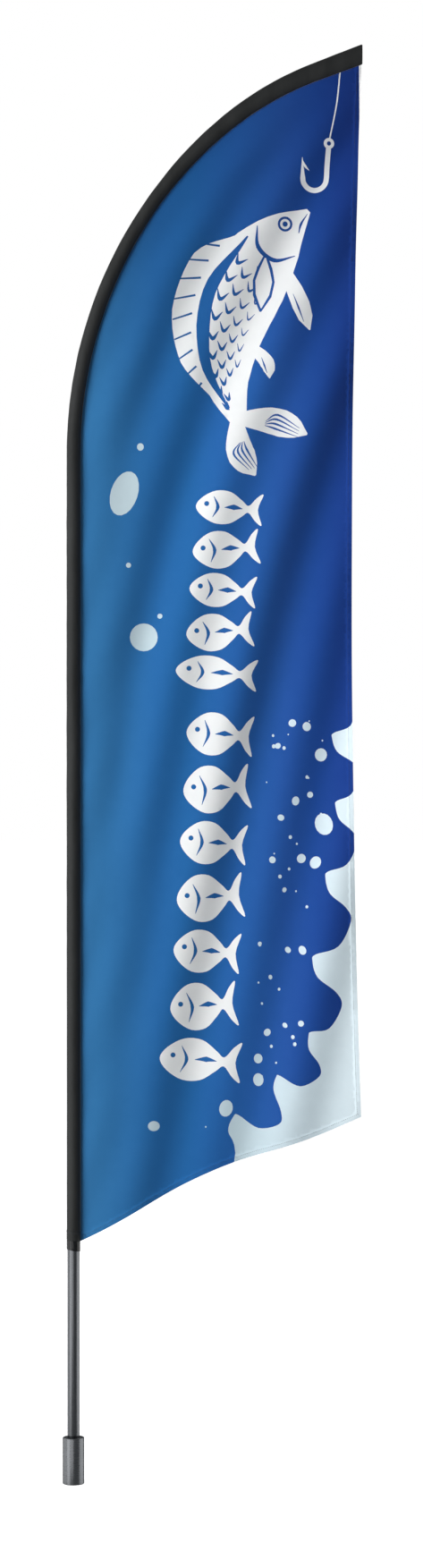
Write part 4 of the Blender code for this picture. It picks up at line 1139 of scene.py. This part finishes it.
for side, lift in (("front", -0.0006), ("back", 0.0006)):
    bottom_row = [
        (x, hem_height(x) + PANEL_HEM * 0.85)
        for x in evenly(SEWN_X + 0.004, 0.672, 0.006)
    ]
    free_row = [
        (free_edge(z) - PANEL_HEM * 0.80, z)
        for z in evenly(panel_bottom + 0.008, panel_top - 0.01, 0.010)
    ]
    seam_row = [(x + ix * 0.004, z + iz * 0.004) for x, z, ix, iz in sewn_edge[3:-2]]
    for name, row, out in (
        ("bottom_hem", bottom_row, lift), ("free_hem", free_row, lift),
        ("sleeve_seam", seam_row, lift / 3)
    ):
        sewn(
                f"{name}_stitches_{side}", [on_panel(x, z, out) for x, z in row], 0.0045,
                (0.0030, 0.0007, 0.0007), dark_thread, "flag", "panel_fabric"
            )

# The seam that joins panel and sleeve: a rolled edge of unprinted cloth, tan grey.
seam_cloth = finish(
    "rolled_seam_tape", (400, 400, 60), ("#5c5750", "#77726a"), (0.6, 0.75), 0.0002, 0.4,
    Sheen_Weight=0.2
)
seam_points = [Vector((x - ix * SEAM_GAP, 0, z - iz * SEAM_GAP)) for x, z, ix, iz in sewn_edge]
seam_mesh = grown(
    path_mesh(
        seam_points, half_width=[0.0013] * len(seam_points), flatness=[1.0] * len(seam_points),
        slack=[0.0003] * len(seam_points)
    ),
    cloth_tube, Sides=10, Wrinkle_Length=0.01, Finish=seam_cloth
)
seam_shape = bmesh.new()
seam_shape.from_mesh(seam_mesh)
bmesh.ops.holes_fill(seam_shape, edges=seam_shape.edges)
seam = add_piece("sleeve_seam_roll", closed_mesh(seam_shape), seam_cloth, "flag", "sleeve_fabric")

# ---------------- tension collar
# A ring of glossy moulded plastic right under the sleeve, cut to the hem's slope at both ends.
# A boss at its back takes a brass insert and the thumbscrew that clamps it to the pole.
COLLAR_BORE = 0.0146
COLLAR_RADIUS = 0.0160
COLLAR_HEIGHT = 0.0235
BOSS_RADIUS = 0.0050
BOSS_END = 0.0225
BOSS_ROOT = 0.0008  # how far the boss is sunk into the ring
INSERT_BORE = 0.0045

# Polished black plastic: bright and deep, with fine rubs round it.
gloss_black = finish(
    "polished_black_plastic", (90, 90, 500), ("#0b0c0d", "#141517"), (0.14, 0.24), 0.00004, 0.2,
    IOR=1.53
)

collar_mesh = turned(
    hollow(COLLAR_RADIUS, COLLAR_BORE, -COLLAR_HEIGHT / 2, COLLAR_HEIGHT / 2), 0.0006
)
for vertex in collar_mesh.vertices:
    vertex.co.z += COLLAR_MIDDLE - vertex.co.x * tan(HEM_SLOPE)
add_piece("sliding_collar", collar_mesh, gloss_black, "collar", "black_plastic", "tension_collar")


def laid_back(mesh):
    """The mesh with its Z turned to +Y, at the collar's middle height."""
    for vertex in mesh.vertices:
        x, y, z = vertex.co
        vertex.co = (x, z, COLLAR_MIDDLE - y)
    return mesh


boss = laid_back(
    turned(hollow(BOSS_RADIUS, INSERT_BORE, COLLAR_RADIUS - BOSS_ROOT, BOSS_END), 0.0004, 48)
)
add_piece("collar_boss", boss, gloss_black, "collar", "black_plastic")

# Machined brass: warm yellow, lightly dulled.
brass = finish(
    "machined_brass", (700, 700, 700), ("#b48a45", "#c79c55"), (0.24, 0.36), 0.00004, 0.3,
    Metallic=1.0
)
dress(brass, "collar_insert")

# ---------------- thumbscrew
# A screw with a ribbed plastic knob behind the boss; its end presses on the pole.
KNOB_RADIUS = 0.0071
KNOB_START = BOSS_END + 0.0003
KNOB_END = KNOB_START + 0.008
SCREW_RADIUS, SCREW_END = 0.0030, 0.0146
screw = laid_back(
    turned(
        [
            (0, KNOB_END - 0.0006), (KNOB_RADIUS - 0.0020, KNOB_END - 0.0006),
            (KNOB_RADIUS - 0.0012, KNOB_END), (KNOB_RADIUS, KNOB_END), (KNOB_RADIUS, KNOB_START),
            (SCREW_RADIUS, KNOB_START), (SCREW_RADIUS, SCREW_END), (0, SCREW_END)
        ],
        0.0006, 72
    )
)
add_piece("thumbscrew", screw, moulded_black, "thumbscrew", "black_plastic", "collar_thumbscrew")
RIBS = 20
knob_middle = (KNOB_START + KNOB_END) / 2
rib_circle = [
    (KNOB_RADIUS * x, knob_middle, COLLAR_MIDDLE + KNOB_RADIUS * z) for x, z in circle(80)
]
sewn(
    "knob_ribs", rib_circle, 2 * pi * KNOB_RADIUS / RIBS, (0.0011, 0.0068, 0.0009), moulded_black,
    "thumbscrew", "black_plastic", True
)

# ---------------- tension strap, tab and eyelet
# An elastic strap sewn to the back of the sleeve pulls the flag down to the collar. Its webbing
# tab hooks over the boss by a nickel-plated eyelet.
STRAP_BACK = 0.0178
STRAP_HALF = 0.0007
STRAP_WIDTH = 0.016
STRAP_FOOT, STRAP_TOP = (corner[2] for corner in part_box("tension_strap"))

# Woven black webbing: coarse cross ribs 1.5 mm apart, dull, fuzzed paler on the ribs.
webbing, tree, shader, place = start_finish("woven_black_webbing", Sheen_Weight=0.3)
fuzz = (500, 500, 500), ("#141414", "#212222"), (0.7, 0.85), 0.0002, 0.4
relief = grain(tree, shader, place, *fuzz)
weave(tree, shader, place, relief, "Z", 209.0, 0.5, 0.5, 0.0003)


def strap_back(z):
    """The strap's middle line leans in to the sleeve where it is sewn on, above."""
    return STRAP_BACK - 0.0004 * share(z, STRAP_TOP - 0.045, STRAP_TOP)


section = [(i / 8 - 0.5, STRAP_HALF * (0.55 if i in (0, 8) else 1.0)) for i in range(9)]
strap = bmesh.new()
rings = []
for z in evenly(STRAP_FOOT, STRAP_TOP, 0.002):
    pinch = 1 - 0.02 * sin(z * 700) ** 2
    edge_front = [(u * STRAP_WIDTH * pinch, strap_back(z) - v, z) for u, v in section]
    edge_back = [(u * STRAP_WIDTH * pinch, strap_back(z) + v, z) for u, v in section]
    rings.append([strap.verts.new(p) for p in edge_front + edge_back[::-1]])
bridge(strap, rings)
strap.faces.new(rings[0][::-1])
strap.faces.new(rings[-1])
strap_mesh = closed_mesh(strap, 60)
strap_mesh.materials.append(webbing)
strap_piece = placed("elastic_strap", strap_mesh)
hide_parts("tension_strap")
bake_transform(strap_piece)

# The strap's box of stitches, sewn through to the sleeve.
box_x, box_low, box_high = 0.0055, STRAP_TOP - 0.022, STRAP_TOP - 0.004
box_corners = [(-box_x, box_low), (box_x, box_high), (box_x, box_low), (-box_x, box_high)]
pale_thread = finish(
    "spun_grey_thread", (900, 900, 900), ("#55585c", "#74777b"), (0.5, 0.65), 0.0001, 0.4,
    Sheen_Weight=0.2
)


def boxed(corners):
    """Points along the lines from corner to corner, eight to a side."""
    sides = zip(corners, corners[1:] + corners[:1])
    return [
        (x + (u - x) * i / 8, z + (w - z) * i / 8) for (x, z), (u, w) in sides for i in range(8)
    ]


BOX_PITCH, BOX_THREAD = 0.0022, (0.0018, 0.0005, 0.0005)
box_path = [(x, strap_back(z) + STRAP_HALF, z) for x, z in boxed(box_corners)]
strap_stitches = sewn(
    "strap_box_stitches", box_path, BOX_PITCH, BOX_THREAD, pale_thread, "flag", "black_webbing",
    True
)

tab_low, tab_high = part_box("strap_tab")
TAB_HOLE = 0.0064
tab = bmesh.new()
hole, border = [], []
for u, v in circle(64, 0.5):
    reach_z = (tab_high[2] - COLLAR_MIDDLE if v > 0 else COLLAR_MIDDLE - tab_low[2]) / abs(v)
    reach = min(tab_high[0] / abs(u), reach_z)
    hole.append(tab.verts.new((u * TAB_HOLE, STRAP_BACK, COLLAR_MIDDLE + v * TAB_HOLE)))
    border.append(tab.verts.new((u * reach, STRAP_BACK, COLLAR_MIDDLE + v * reach)))
bridge(tab, [hole, border])
tab_mesh = walled(tab, STRAP_HALF * 2, 0.0)
tab_piece = add_piece(
    "collar_webbing_tab", tab_mesh, webbing, "collar", "black_webbing", "strap_tab"
)
TAB_EDGE = 0.0016
tab_x, tab_bottom, tab_top = tab_high[0] - TAB_EDGE, tab_low[2] + TAB_EDGE, tab_high[2] - TAB_EDGE
tab_corners = [(-tab_x, tab_bottom), (tab_x, tab_bottom), (tab_x, tab_top), (-tab_x, tab_top)]
tab_path = [(x, STRAP_BACK + STRAP_HALF, z) for x, z in boxed(tab_corners)]
tab_stitches = sewn(
    "tab_edge_stitches", tab_path, BOX_PITCH, BOX_THREAD, pale_thread, "collar", "black_webbing",
    True
)

# Nickel-plated brass: bright and faintly warm, with fine scratches.
nickel = finish(
    "nickel_plated_brass", (1200, 1200, 1200), ("#b7b4ad", "#c9c6bf"), (0.16, 0.3), 0.00003, 0.3,
    Metallic=1.0
)
dress(nickel, "strap_eyelet")
